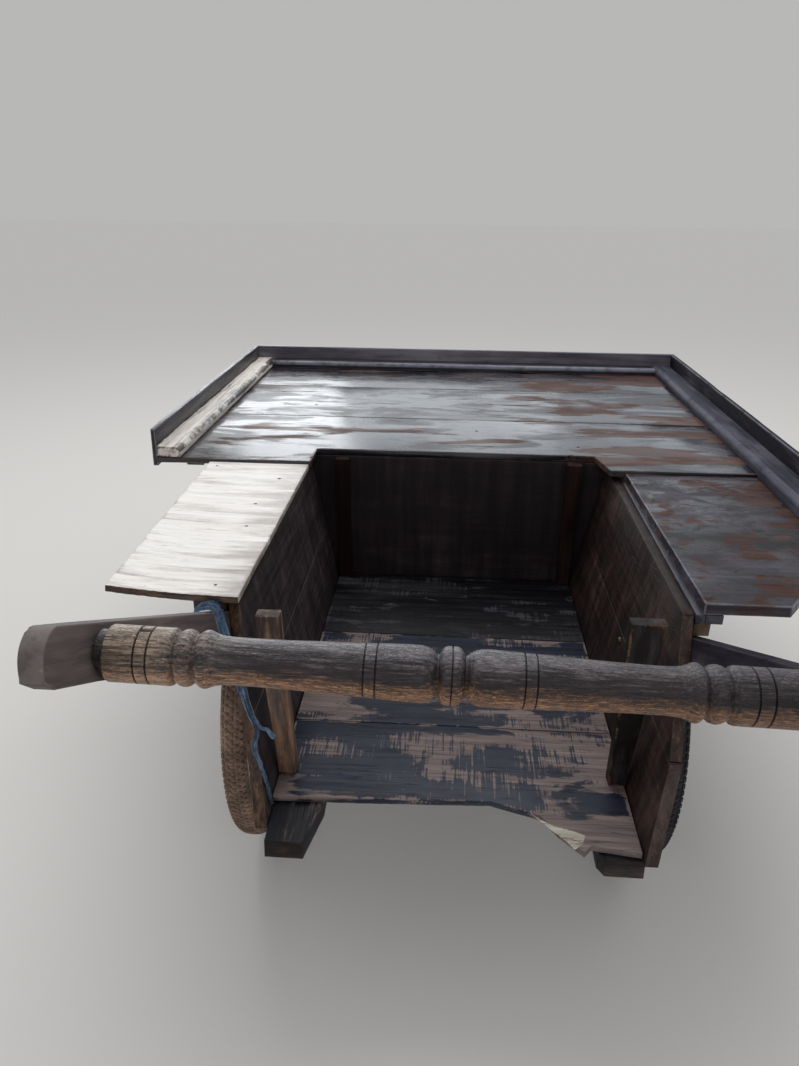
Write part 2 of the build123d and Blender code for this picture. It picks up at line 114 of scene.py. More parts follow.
class Value:
    # one output of a shader node; sums of such values are written as sums
    def __init__(self, tree, output, kind, sockets=None, **options):
        self.tree = tree
        self.socket = put(tree, kind, sockets, **options).outputs[output]

    def sum(self, operation, other, clamp=False):
        return Value(self.tree, 0, "Math", {0: self, 1: other}, operation=operation, use_clamp=clamp)

    def __add__(self, other):
        return self.sum("ADD", other)

    def __sub__(self, other):
        return self.sum("SUBTRACT", other)

    def __mul__(self, other):
        return self.sum("MULTIPLY", other)

    def span(self, low, high, start=0.0, end=1.0):
        # what lies between low and high, brought to lie between start and end
        ends = {"Value": self, "From Min": low, "From Max": high, "To Min": start, "To Max": end}
        return Value(self.tree, "Result", "MapRange", ends, interpolation_type="LINEAR")

    def mix(self, first, second):
        # a colour between two, with this value as the share of the second
        colours = {0: self, 6: first, 7: second}
        return Value(self.tree, 2, "Mix", colours, data_type="RGBA", clamp_factor=True)


def freshMaterial(name):
    material = bpy.data.materials.new(name)
    material.use_nodes = True
    material.node_tree.nodes.clear()
    return material, material.node_tree


def surfaced(tree, look):
    # the surface of a material, led to its output
    put(tree, "OutputMaterial", {"Surface": Value(tree, 0, "BsdfPrincipled", look)})


def added(operator, **size):
    # a simple shape, made at the origin and left selected alone
    bpy.ops.object.select_all(action="DESELECT")
    operator(location=(0, 0, 0), **size)
    return bpy.context.object


floor = added(bpy.ops.mesh.primitive_plane_add, size=2 * studio["floorHalf"])
floor.name = "studioFloor"
groundPaint, tree = freshMaterial("studioFloorPaint")
surfaced(tree, {"Base Color": studio["floorColour"], "Roughness": 0.95, "Specular IOR Level": 0.1})
floor.data.materials.append(groundPaint)

world = bpy.data.worlds.new("studioSky")
view.world = world
world.use_nodes = True
tree = world.node_tree
tree.nodes.clear()
cameraRay = Value(tree, "Is Camera Ray", "LightPath")
lit = Value(tree, 0, "Background", {"Color": studio["skyColour"], "Strength": studio["skyLevel"]})
seen = Value(tree, 0, "Background", {"Color": studio["backdrop"], "Strength": 1.0})
put(tree, "OutputWorld", {"Surface": Value(tree, 0, "MixShader", {0: cameraRay, 1: lit, 2: seen})})

# the lamps behind the cart leave the floor alone
spared = bpy.data.collections.new("sparedFloor")
spared.objects.link(floor)
for entry in spared.collection_objects:
    entry.light_linking.link_state = "EXCLUDE"
for lampName, (place, aim, wide, high, watts, tint) in lamps.items():
    lamp = bpy.data.objects.new(lampName, bpy.data.lights.new(lampName, "AREA"))
    view.collection.objects.link(lamp)
    lamp.data.shape = "RECTANGLE"
    lamp.data.size = wide
    lamp.data.size_y = high
    lamp.data.energy = watts
    lamp.data.color = tint
    lamp.location = place
    lamp.rotation_mode = "QUATERNION"
    lamp.rotation_quaternion = (Vector(aim) - Vector(place)).to_track_quat("-Z", "Y")
    lamp.visible_camera = False
    if lampName != "overhead":
        lamp.light_linking.receiver_collection = spared


# finishes

print("finishes")


def stretched(coords, grain, along, across):
    # coordinates squeezed so that noise runs in long streaks down the grain
    scale = [1 / across] * 3
    scale["XYZ".index(grain)] = 1 / along
    return Value(coords.tree, 0, "VectorMath", {0: coords, 1: scale}, operation="MULTIPLY")


def cloudy(coords, scale=1.0, detail=5.0, roughness=0.55, distortion=0.0):
    look = {"Vector": coords, "Scale": scale, "Detail": detail, "Roughness": roughness}
    return Value(coords.tree, "Fac", "TexNoise", dict(look, Distortion=distortion))


def bumped(height, distance, strength):
    look = {"Height": height, "Distance": distance, "Strength": strength}
    return Value(height.tree, 0, "Bump", look)


def objectPlace(tree):
    return Value(tree, "Object", "TexCoord")


# worn edges on boards, flap and tyres; painted shade in the grooves of the handle bar
def wornEdgesAndGrooveShade(tree):
    return Value(tree, "Fac", "Attribute", attribute_name="edgeWearAndGrooveShade")


def crackLines(coords, thin):
    # narrow lines where a stretched cloud crosses its middle value
    cloud = cloudy(coords, detail=3.0, roughness=0.5)
    return (cloud - 0.5).sum("ABSOLUTE", 0.0).span(0.0, thin, 1.0, 0.0)


woodLook = {
    "seed": 0.0,
    "grain": "X",
    "lean": (0.0, 0.0, 0.0),
    # paint, worn paint, dark wood, light wood
    "tones": ((42, 38, 43), (70, 60, 58), (74, 58, 49), (128, 108, 92)),
    # sizes of the clouds along and across the grain, in metres
    "fibres": (0.22, 0.011),
    "fine": (0.05, 0.0016),
    "blotches": (0.30, 0.12),
    "patch": (0.34, 0.07),
    "wetPatch": (0.26, 0.020),
    "crackSize": (0.30, 0.014),
    "sawMarks": (0.10, 0.0034),
    "runs": (0.22, 0.022),
    # where paint has gone: middle and softness of its border, and what moves it
    "bare": 0.60,
    "soft": 0.06,
    "edge": 0.30,
    "fades": (),
    "saw": 0.0,
    "fibreShare": 0.35,
    "fineShare": 0.18,
    "nicks": 24.0,
    "film": chip(150, 146, 146),
    "filmShare": 0.12,
    # a thin pale line along worn edges: rubbed wear and painted highlight
    "line": 0.0,
    "lineTone": chip(128, 130, 144),
    "stain": 0.0,
    "stainTone": chip(14, 10, 11),
    "cracks": 0.5,
    "crackThin": 0.010,
    "crackTone": chip(20, 16, 15),
    "paintRough": 0.36,
    "woodRough": 0.72,
    "streak": 1.0,
    "wet": 0.0,
    "wetEdge": (0.44, 0.60),
    "sheen": 0.5,
    "dull": 0.5,
    "bump": 0.0007,
}


def oldWood(name, **changes):
    # weathered wood under what is left of its paint; each finish is this look with its own changes
    look = dict(woodLook, **changes)
    material, tree = freshMaterial(name)
    freshPaint, wornPaint, darkWood, lightWood = (chip(*tone) for tone in look["tones"])
    grain, seed = look["grain"], look["seed"]
    coords = objectPlace(tree)
    moved = {"Vector": coords, "Location": (seed * 1.7, seed * 2.3, seed * 0.9), "Rotation": look["lean"]}
    placed = Value(tree, 0, "Mapping", moved)

    def grainCloud(size, detail, roughness, distortion=0.0, way=grain):
        return cloudy(stretched(placed, way, *look[size]), 1.0, detail, roughness, distortion)

    fibres = grainCloud("fibres", 6.0, 0.62)
    fine = grainCloud("fine", 4.0, 0.6)
    blotches = grainCloud("blotches", 4.0, 0.6)
    patch = grainCloud("patch", 7.0, 0.58, 0.35)
    nicks = cloudy(placed, look["nicks"], 5.0, 0.65)
    edgeWearAndGrooveShade = wornEdgesAndGrooveShade(tree)
    cracks = crackLines(stretched(placed, grain, *look["crackSize"]), look["crackThin"]) * look["cracks"]
    # long smears that shine more than the rest
    wet = grainCloud("wetPatch", 7.0, 0.66, 0.6).span(*look["wetEdge"])

    # where the paint has gone
    gone = patch + (fibres - 0.5) * look["fibreShare"] + (fine - 0.5) * look["fineShare"]
    gone += edgeWearAndGrooveShade * nicks.span(0.40, 0.60) * look["edge"]
    if look["saw"] > 0:
        # marks of a frame saw, straight across the board
        sawMarks = grainCloud("sawMarks", 2.0, 0.5, way="Y" if grain == "X" else "X")
        gone += (sawMarks - 0.5) * blotches.span(0.46, 0.62, 0.0, look["saw"])
    for axis, start, end, amount in look["fades"]:
        gone += Value(tree, axis, "SeparateXYZ", {0: coords}).span(start, end, 0.0, amount)
    bare = gone.span(look["bare"] - look["soft"] / 2, look["bare"] + look["soft"] / 2)

    wood = (fibres * 0.7 + fine * 0.3).span(0.36, 0.64).mix(darkWood, lightWood)
    paint = (blotches * 0.6 + fibres * 0.4).span(0.42, 0.62).mix(freshPaint, wornPaint)
    dust = (fibres * blotches.span(0.4, 0.7)).span(0.2, 0.6, 0.0, look["filmShare"] * 2)
    colour = bare.mix(dust.mix(paint, look["film"]), wood)
    if look["stain"] > 0:
        # water has run down and left dark streaks
        runs = grainCloud("runs", 5.0, 0.6, way="Z").span(0.62, 0.42, 0.0, look["stain"])
        colour = runs.mix(colour, look["stainTone"])
    if look["line"] > 0:
        # edges rubbed to a thin pale line, which is also a painted highlight along them
        rubbedAndHighlit = edgeWearAndGrooveShade.span(0.55, 1.0) * nicks.span(0.30, 0.52, 0.0, look["line"])
        colour = rubbedAndHighlit.mix(colour, look["lineTone"])

    rough = bare.span(0.0, 1.0, look["paintRough"], look["woodRough"])
    rough += fibres.span(0.3, 0.7, -0.12 * look["streak"], 0.16 * look["streak"])
    height = fine * 0.55 + fibres * 0.6 - bare * 0.22 - cracks * 1.1
    surfaced(tree, {
        "Base Color": cracks.mix(colour, look["crackTone"]),
        "Roughness": rough.sum("SUBTRACT", wet * look["wet"], clamp=True),
        "Normal": bumped(height, look["bump"], 0.85),
        "Specular IOR Level": bare.span(0.0, 1.0, look["sheen"], look["sheen"] * look["dull"]),
    })
    return material


# two tones of paint, two of the wood below it
blackPaint = ((24, 21, 27), (46, 40, 48))
# the black rim paint lightened to grey for the far rim: painted sheen
rimFarPaintedSheen = ((74, 70, 78), (122, 116, 126))
slatePaint = ((50, 49, 60), (86, 84, 98))
redWood = ((58, 41, 38), (104, 78, 70))
plainWood = ((74, 58, 49), (128, 108, 92))
tableLook = {
    "tones": blackPaint + redWood,
    "bare": 0.59,
    "soft": 0.04,
    "edge": 0.12,
    "fades": (("X", 0.00, 0.60, 0.10),),
    "fibreShare": 0.14,
    "fineShare": 0.08,
    "filmShare": 0.10,
    "paintRough": 0.40,
    "woodRough": 0.56,
    "streak": 0.22,
    "wet": 0.25,
    "wetPatch": (0.30, 0.095),
    "wetEdge": (0.44, 0.53),
    "sheen": 0.62,
    "dull": 0.14,
    "bump": 0.00014,
}
tableFinish = oldWood("tableBlackPaint", seed=1.0, patch=(0.30, 0.065), **tableLook)
tableFarFinish = oldWood("tableFarPaint", seed=2.6, patch=(0.34, 0.080), **tableLook)
rimLook = {
    "tones": blackPaint + redWood,
    "edge": 0.10,
    "line": 0.75,
    "bare": 0.78,
    "paintRough": 0.38,
    "sheen": 0.45,
    "wet": 0.08,
}
rimRightLook = dict(rimLook, grain="Y", paintRough=0.60, sheen=0.08)
rimFinish = oldWood("rimPaint", seed=3.0, grain="Y", **rimLook)
rimRightFinish = oldWood("rimRightPaint", seed=3.4, **rimRightLook)
# the far rim gets the black paint lightened to grey: painted sheen
rimFrontFinish = oldWood("rimFrontPaint", seed=4.0, **dict(rimLook, tones=rimFarPaintedSheen + redWood))
# the left moulding is painted pale, as in sunlight: painted sunlight; it keeps some dark paint along its
# edges
mouldingFinish = oldWood(
    "mouldingBleachedWood", seed=5.0, tones=((64, 58, 58), (112, 104, 100), (188, 178, 168), (240, 233, 224)),
    grain="Y", bare=0.37, soft=0.16, patch=(0.24, 0.020), edge=-0.30, woodRough=0.5, sheen=0.6,
    filmShare=0.2, bump=0.0003,
)
mouldingRightFinish = oldWood(
    "mouldingRightPaint", seed=5.4, **dict(rimRightLook, line=0.28, tones=slatePaint + redWood)
)
mouldingFrontFinish = oldWood("mouldingFrontPaint", seed=6.0, **rimLook)
# the left flap is painted pale, paler still towards its outer edge: painted sunlight and glare, with darker
# paint left near its inner edge
flapSunlitPaleFinish = oldWood(
    "flapSunlitPaleWood", seed=7.0, tones=((150, 138, 130), (206, 196, 188), (232, 224, 215), (255, 253, 250)),
    bare=0.56, soft=0.20, patch=(0.22, 0.030), edge=-0.25, cracks=0.35, woodRough=0.5, fineShare=0.12,
    fades=(("X", -0.352, -0.440, 0.20), ("Y", -0.45, -0.62, -0.06)),
)
flapEdgeFinish = oldWood(
    "flapEdgeWood", seed=7.6, tones=((50, 38, 35), (76, 60, 52), (84, 66, 56), (124, 102, 86)),
    bare=0.58, patch=(0.05, 0.02), edge=0.1, sheen=0.3,
)
flapDarkFinish = oldWood(
    "flapMottledPaint", seed=8.0, tones=((11, 9, 13), (50, 42, 58), (58, 42, 39), (96, 74, 68)),
    bare=0.55, patch=(0.085, 0.06), edge=0.06, fibreShare=0.10, fineShare=0.06, filmShare=0.10, line=0.7,
    paintRough=0.56, streak=0.5, wet=0.32, wetPatch=(0.085, 0.050), wetEdge=(0.46, 0.56), sheen=0.40,
    dull=0.15, bump=0.0004,
)
wallWood = ((72, 50, 42), (112, 84, 68))
wallLook = {"grain": "Y", "bare": 0.78, "edge": 0.05, "paintRough": 0.58, "filmShare": 0.03, "stain": 0.70}
wallTones = ((42, 28, 27), (68, 47, 42)) + wallWood
wallLeftTones = ((50, 40, 44), (80, 66, 66)) + wallWood
wallFinish = oldWood("binDarkWood", seed=9.0, sheen=0.25, tones=wallTones, **wallLook)
wallLeftFinish = oldWood("binLeftWood", seed=9.7, sheen=0.4, tones=wallLeftTones, **wallLook)
endLook = {"grain": "Z", "soft": 0.20, "patch": (0.20, 0.009), "edge": 0.06, "cracks": 0.8, "sheen": 0.3}
endTones = ((46, 34, 30), (72, 55, 46), (82, 62, 50), (128, 99, 77))
endRightTones = ((46, 34, 32), (68, 52, 47), (72, 54, 46), (104, 82, 68))
wallEndFinish = oldWood("plankEndWood", seed=24.0, bare=0.54, tones=endTones, paintRough=0.6, **endLook)
wallEndRightFinish = oldWood(
    "plankEndDarkWood", seed=24.6, bare=0.60, tones=endRightTones, paintRough=0.6, **endLook
)
frontWallFinish = oldWood(
    "binFrontDark", seed=10.0, tones=((36, 27, 32), (54, 40, 42), (50, 36, 32), (78, 58, 48)),
    bare=0.82, filmShare=0.04, stain=0.7, paintRough=0.6, sheen=0.3,
)
cornerFinish = oldWood(
    "cornerPostWood", seed=22.0, grain="Z", tones=((34, 21, 20), (54, 32, 27), (58, 38, 31), (80, 56, 44)),
    bare=0.78, edge=0.04, filmShare=0.02, stain=0.5, paintRough=0.7, sheen=0.08,
)
postFinish = oldWood(
    "postBareWood", seed=11.0, grain="Z", tones=((46, 35, 33), (74, 57, 50), (94, 71, 59), (152, 120, 98)),
    bare=0.56, soft=0.16, patch=(0.22, 0.014), edge=0.04, paintRough=0.6, sheen=0.3,
    fades=(("Z", 0.62, 0.46, 0.13),),
)
postDarkFinish = oldWood(
    "postDarkWood", seed=12.0, grain="Z", tones=((13, 9, 10), (26, 17, 16), (62, 43, 33), (108, 80, 60)),
    bare=0.72, patch=(0.20, 0.014), paintRough=0.6, sheen=0.2,
)
floorLook = {"fibreShare": 0.10, "fineShare": 0.05, "filmShare": 0.05, "paintRough": 0.45}
floorFinish = oldWood(
    "floorBluePaint", seed=13.0, tones=((17, 22, 38), (35, 42, 62), (92, 80, 80), (140, 126, 122)),
    bare=0.545, soft=0.04, patch=(0.17, 0.075), saw=0.85, edge=0.16, bump=0.0006, sheen=0.3,
    fades=(("X", -0.02, 0.30, 0.05), ("Y", -0.672, -0.706, 0.085)), **floorLook
)
floorDarkFinish = oldWood(
    "floorDarkPaint", seed=14.0, tones=((13, 13, 19), (26, 26, 33), (48, 45, 50), (80, 76, 82)),
    bare=0.612, patch=(0.11, 0.040), saw=0.80, edge=0.04, sheen=0.25, **floorLook
)
beamFinish = oldWood(
    "beamPaint", seed=15.0, grain="Y", tones=((15, 16, 23), (28, 29, 38), (58, 50, 50), (96, 86, 84)),
    bare=0.62, patch=(0.12, 0.03), edge=0.05, paintRough=0.5, sheen=0.25,
)
beamEndFinish = oldWood(
    "beamEndWood", seed=25.0, tones=((18, 14, 13), (36, 27, 22), (50, 38, 32), (82, 62, 50)),
    patch=(0.05, 0.02), edge=0.08, soft=0.14, sheen=0.2,
)
legFinish = oldWood(
    "legWood", seed=16.0, grain="Z", tones=((36, 30, 32), (58, 48, 46)) + plainWood,
    bare=0.62, patch=(0.2, 0.03),
)
battenLook = {"tones": ((38, 32, 32), (66, 54, 48)) + plainWood, "bare": 0.58}
battenFinish = oldWood("battenWood", seed=17.0, grain="Y", **battenLook)
railFinish = oldWood("railWood", seed=18.0, **battenLook)
ledgerFinish = oldWood(
    "ledgerPaint", seed=19.0, grain="Y", tones=((50, 49, 58), (80, 77, 88)) + plainWood,
    bare=0.70, edge=0.14, sheen=0.25,
)
packFinish = oldWood(
    "packingWood", seed=20.0, grain="Y", bare=0.30, edge=0.1,
    tones=((42, 38, 43), (70, 60, 58), (88, 72, 58), (132, 110, 90)),
)
armWood = ((84, 70, 62), (150, 132, 116))
armLook = {
    "grain": "Y",
    # the grain follows the slope of the arms, in radians
    "lean": (0.46, 0.0, 0.0),
    "patch": (0.20, 0.03),
    "bare": 0.82,
    "edge": 0.22,
    "filmShare": 0.06,
    "lineTone": chip(150, 142, 136),
    "cracks": 0.18,
}
armFinish = oldWood(
    "armSlateWood", seed=21.0, tones=((76, 66, 66), (108, 96, 94)) + armWood,
    sheen=0.3, paintRough=0.6, line=0.35, **armLook
)
armRightFinish = oldWood(
    "armDarkWood", seed=21.8, tones=((36, 33, 40), (58, 54, 62)) + armWood,
    sheen=0.03, paintRough=0.75, line=0.15, **armLook
)
tornFinish = oldWood(
    "tornWood", seed=27.0, tones=((112, 98, 84), (140, 126, 110), (150, 142, 130), (196, 190, 176)),
    bare=0.44, patch=(0.03, 0.008), sheen=0.2, cracks=0.7,
)


# the bar falls a little to the right
handleAxis = {"centre": Vector((-0.0210, -0.956, 0.84028)), "fall": 0.0283}
handleAxis["along"] = Vector((0.9996, 0.0, -handleAxis["fall"])).normalized()
varnishLook = {
    "dark": chip(24, 17, 20),
    "darkWorn": chip(70, 52, 54),
    # gold: rubbed wood underneath, painted lighter as by light thrown up from the ground
    "gold": chip(112, 64, 38),
    "goldWorn": chip(214, 156, 108),
    # painted sheen: a pale highlight laid on the top of the bar
    "paintedSheen": chip(190, 184, 192),
    "paintedSheenShare": 0.52,
    "crackAndGrooveShade": chip(10, 7, 7),
    # painted shade: shares of painted sheen and gold left at the right end, which lies in deeper shade
    "rightSheenInShade": 0.36,
    "rightGoldInShade": 0.68,
    # painted sunlight: the left end is painted paler and warmer, as if in the sun
    "leftSunlitSheen": chip(216, 188, 160),
    "leftSunShare": 0.34,
    # sizes of the clouds and cracks along and across the bar, in metres
    "fibres": (0.060, 0.0036),
    "fine": (0.016, 0.0019),
    "specks": (0.0070, 0.0026),
    "blotches": (0.075, 0.026),
    "pits": (0.0085, 0.0016),
    "scales": (0.0120, 0.0034),
    "checks": (0.10, 0.0060),
    "checkThin": 0.009,
    # heights above the middle line where gold fades in downwards and the painted sheen upwards
    "goldFrom": (0.015, -0.008),
    "paintedSheenFrom": (0.012, 0.031),
    # places along the cart where the ends' tones fade in
    "toRight": (-0.05, 0.30),
    "toLeft": (-0.22, -0.34),
    "bump": 0.0010,
}


def handleVarnish(name, axis, look):
    # old varnish: a painted sheen on top, dark along the middle, rubbed golden underneath and painted lighter
    # there as by light thrown up from the ground, crackled all over, with painted shade in the grooves
    material, tree = freshMaterial(name)
    coords = objectPlace(tree)
    middle = axis["centre"]
    across, upward = (Value(tree, letter, "SeparateXYZ", {0: coords}) for letter in "XZ")

    def barCloud(size, detail, roughness):
        return cloudy(stretched(coords, "X", *look[size]), 1.0, detail, roughness)

    fibres = barCloud("fibres", 7.0, 0.68)
    fine = barCloud("fine", 5.0, 0.68)
    specks = barCloud("specks", 4.0, 0.7)
    blotches = barCloud("blotches", 6.0, 0.62)

    # crackle, checks and pits
    swirl = Value(tree, "Color", "TexNoise", {"Vector": coords, "Scale": 130.0, "Detail": 4.0})
    swirl = Value(tree, 0, "VectorMath", {0: swirl, 1: (1.6, 1.6, 1.6)}, operation="MULTIPLY")
    scales = stretched(coords, "X", *look["scales"])
    uneven = Value(tree, 0, "VectorMath", {0: scales, 1: swirl}, operation="ADD")
    edges = {"Vector": uneven, "Scale": 1.0}
    crackle = Value(tree, "Distance", "TexVoronoi", edges, feature="DISTANCE_TO_EDGE")
    crackle = crackle.span(0.02, 0.14, 1.0, 0.0) * blotches.span(0.42, 0.58, 0.0, 0.9)
    checks = crackLines(stretched(coords, "X", *look["checks"]), look["checkThin"])
    pits = barCloud("pits", 3.0, 0.6).span(0.43, 0.36, 0.0, 0.75)
    lines = (crackle * 0.85).sum("MAXIMUM", checks).sum("MAXIMUM", pits)

    # shares of gold below and of painted sheen above the middle line
    level = upward + (across - middle.x) * axis["fall"]
    streaks = (fibres - 0.5) * 2.0
    low = level.span(*(middle.z + v for v in look["goldFrom"])) + streaks + (blotches - 0.5) * 0.9
    golden = low.span(0.30, 1.05) * specks.span(0.36, 0.54, 0.25, 1.0)
    # painted shade: less gold and less painted sheen towards the right end
    golden *= across.span(*look["toRight"], 1.0, look["rightGoldInShade"])
    # painted sheen on the top of the bar, fading in upwards
    high = level.span(*(middle.z + v for v in look["paintedSheenFrom"])) + streaks * 1.6
    paintedSheen = high.span(0.30, 1.25, 0.0, look["paintedSheenShare"]) * specks.span(0.34, 0.58, 0.35, 1.0)
    paintedSheen *= across.span(*look["toRight"], 1.0, look["rightSheenInShade"])
    # painted sunlight: the sheen turns pale and warm towards the left end and covers more of it
    sunlit = across.span(*look["toLeft"])
    paintedSheen = paintedSheen.sum("ADD", sunlit * fibres.span(0.34, 0.62, 0.0, look["leftSunShare"]), clamp=True)

    dark = fibres.span(0.40, 0.64).mix(look["dark"], look["darkWorn"])
    gold = fine.span(0.38, 0.62).mix(look["gold"], look["goldWorn"])
    colour = paintedSheen.mix(golden.mix(dark, gold), sunlit.mix(look["paintedSheen"], look["leftSunlitSheen"]))
    # painted shade in the grooves, valleys, slot and tenon, in the dark crack tone
    colour = (wornEdgesAndGrooveShade(tree) * 0.9).mix(colour, look["crackAndGrooveShade"])
    surfaced(tree, {
        "Base Color": (lines * 0.92).mix(colour, look["crackAndGrooveShade"]),
        "Roughness": fibres.span(0.35, 0.65, 0.30, 0.52),
        "Normal": bumped(fine * 0.45 - lines * 0.9 + fibres * 0.5, look["bump"], 0.85),
        "Specular IOR Level": 0.45,
        "Coat Weight": 0.12,
        "Coat Roughness": 0.20,
    })
    return material


def agedMetal(name, steel, rust, rustShare, rough):
    # steel with patches of rust; rough is the roughness of what is still clean
    material, tree = freshMaterial(name)
    coords = objectPlace(tree)
    grit = cloudy(coords, 420.0, 3.0)
    rusty = cloudy(coords, 38.0, 7.0, 0.65) + (grit - 0.5) * 0.25
    rusty = rusty.span(0.62 - rustShare * 0.25, 0.68 - rustShare * 0.2)
    deepRust = tuple(v * 0.45 for v in rust[:3]) + (1.0,)
    surfaced(tree, {
        "Base Color": rusty.mix(steel, grit.span(0.3, 0.7).mix(rust, deepRust)),
        "Metallic": rusty.span(0.0, 1.0, 0.85, 0.1),
        "Roughness": rusty.span(0.0, 1.0, rough, 0.85),
        "Normal": bumped(grit + rusty, 0.0003, 0.6),
    })
    return material


def dustyRubber(name, rubber, dustColour, seed):
    # old rubber with road dust, least of it on top of the lugs
    material, tree = freshMaterial(name)
    coords = Value(tree, 0, "Mapping", {"Vector": objectPlace(tree), "Location": (seed, seed, seed)})
    clouds = cloudy(coords, 14.0, 6.0, 0.6)
    grit = cloudy(coords, 260.0, 4.0)
    dusty = clouds + (grit - 0.5) * 0.5 + wornEdgesAndGrooveShade(tree) * -0.10
    surfaced(tree, {
        "Base Color": dusty.span(0.34, 0.62).mix(rubber, dustColour),
        "Roughness": clouds.span(0.3, 0.7, 0.7, 0.95),
        "Normal": bumped(grit, 0.0004, 0.5),
        "Specular IOR Level": 0.3,
    })
    return material


clothLook = {
    "threads": 420.0,
    "fresh": chip(48, 68, 98),
    "faded": chip(104, 130, 158),
    "creaseHighlight": chip(164, 184, 204),
    "creaseShade": chip(20, 30, 52),
}


def wovenCloth(name, look):
    # faded blue cotton, woven, with painted highlights on the crests of its crumples and painted shade in its
    # creases
    material, tree = freshMaterial(name)
    uv = Value(tree, 0, "UVMap", uv_map="stripUv")
    threads = {"Vector": uv, "Scale": look["threads"], "Distortion": 0.6}
    warp, weft = (Value(tree, "Fac", "TexWave", threads, bands_direction=way) for way in "XY")
    coords = objectPlace(tree)
    crease = cloudy(coords, 190.0, 4.0, 0.65)
    colour = cloudy(coords, 60.0, 6.0, 0.6).span(0.35, 0.65).mix(look["fresh"], look["faded"])
    # painted highlight on the crests of the crumples
    colour = crease.span(0.60, 0.72, 0.0, 0.45).mix(colour, look["creaseHighlight"])
    # painted shade in the creases, where the bump lies low
    surfaced(tree, {
        "Base Color": crease.span(0.47, 0.36, 0.0, 0.75).mix(colour, look["creaseShade"]),
        "Roughness": 0.92,
        "Normal": bumped(warp * weft * 0.4 + crease, 0.0006, 0.7),
        "Sheen Weight": 0.3,
    })
    return material


handleFinish = handleVarnish("handleVarnish", handleAxis, varnishLook)
axleFinish = agedMetal("axleSteel", chip(96, 92, 90), chip(110, 72, 48), 0.75, 0.45)
rimSteelFinish = agedMetal("wheelRimSteel", chip(150, 150, 152), chip(122, 82, 56), 0.45, 0.35)
hubFinish = agedMetal("hubSteel", chip(120, 118, 116), chip(112, 74, 50), 0.65, 0.4)
nailFinish = agedMetal("nailSteel", chip(58, 54, 54), chip(70, 46, 36), 0.9, 0.5)
boltFinish = agedMetal("boltSteel", chip(112, 104, 98), chip(104, 76, 60), 0.55, 0.6)
tyreLeftFinish = dustyRubber("tyreDustyRubber", chip(100, 80, 69), chip(158, 133, 116), 0.0)
tyreRightFinish = dustyRubber("tyreGreyRubber", chip(30, 29, 33), chip(66, 64, 70), 3.0)
clothFinish = wovenCloth("clothBlueCotton", clothLook)


# boards

print("boards")


def newPiece(name, mesh):
    mesh.name = name
    piece = bpy.data.objects.new(name, mesh)
    view.collection.objects.link(piece)
    return piece


def onlyThis(piece):
    bpy.ops.object.select_all(action="DESELECT")
    piece.select_set(True)
    bpy.context.view_layer.objects.active = piece


def editMesh(piece):
    onlyThis(piece)
    bpy.ops.object.mode_set(mode="EDIT")
    bpy.ops.mesh.select_all(action="SELECT")


def editDone():
    bpy.ops.object.mode_set(mode="OBJECT")


def normalsOut():
    bpy.ops.mesh.select_all(action="SELECT")
    bpy.ops.mesh.normals_make_consistent(inside=False)


def smoothed(degrees):
    bpy.ops.object.shade_smooth_by_angle(angle=math.radians(degrees))


boardLook = {
    "round": 0.0018,
    # distance between the cuts across the grain
    "step": 0.07,
    "chip": 0.0014,
    "wave": 0.0006,
    "grain": "X",
    "ends": None,
    # broad and narrow faces get an inset when they are large enough, in square metres and metres
    "inset": 0.0045,
    "broadArea": 0.0008,
    "thinInset": 0.0016,
    "thinArea": 0.0003,
    "thinWidth": 0.006,
    # the piece stays this far inside the box of the sawn board
    "skin": 0.00005,
}


def unworn(shape):
    # the faces inside an inset lie away from the worn edges
    wear = shape.verts.layers.float["edgeWearAndGrooveShade"]
    for face in shape.faces:
        if face.select:
            for vert in face.verts:
                vert[wear] = 0.0


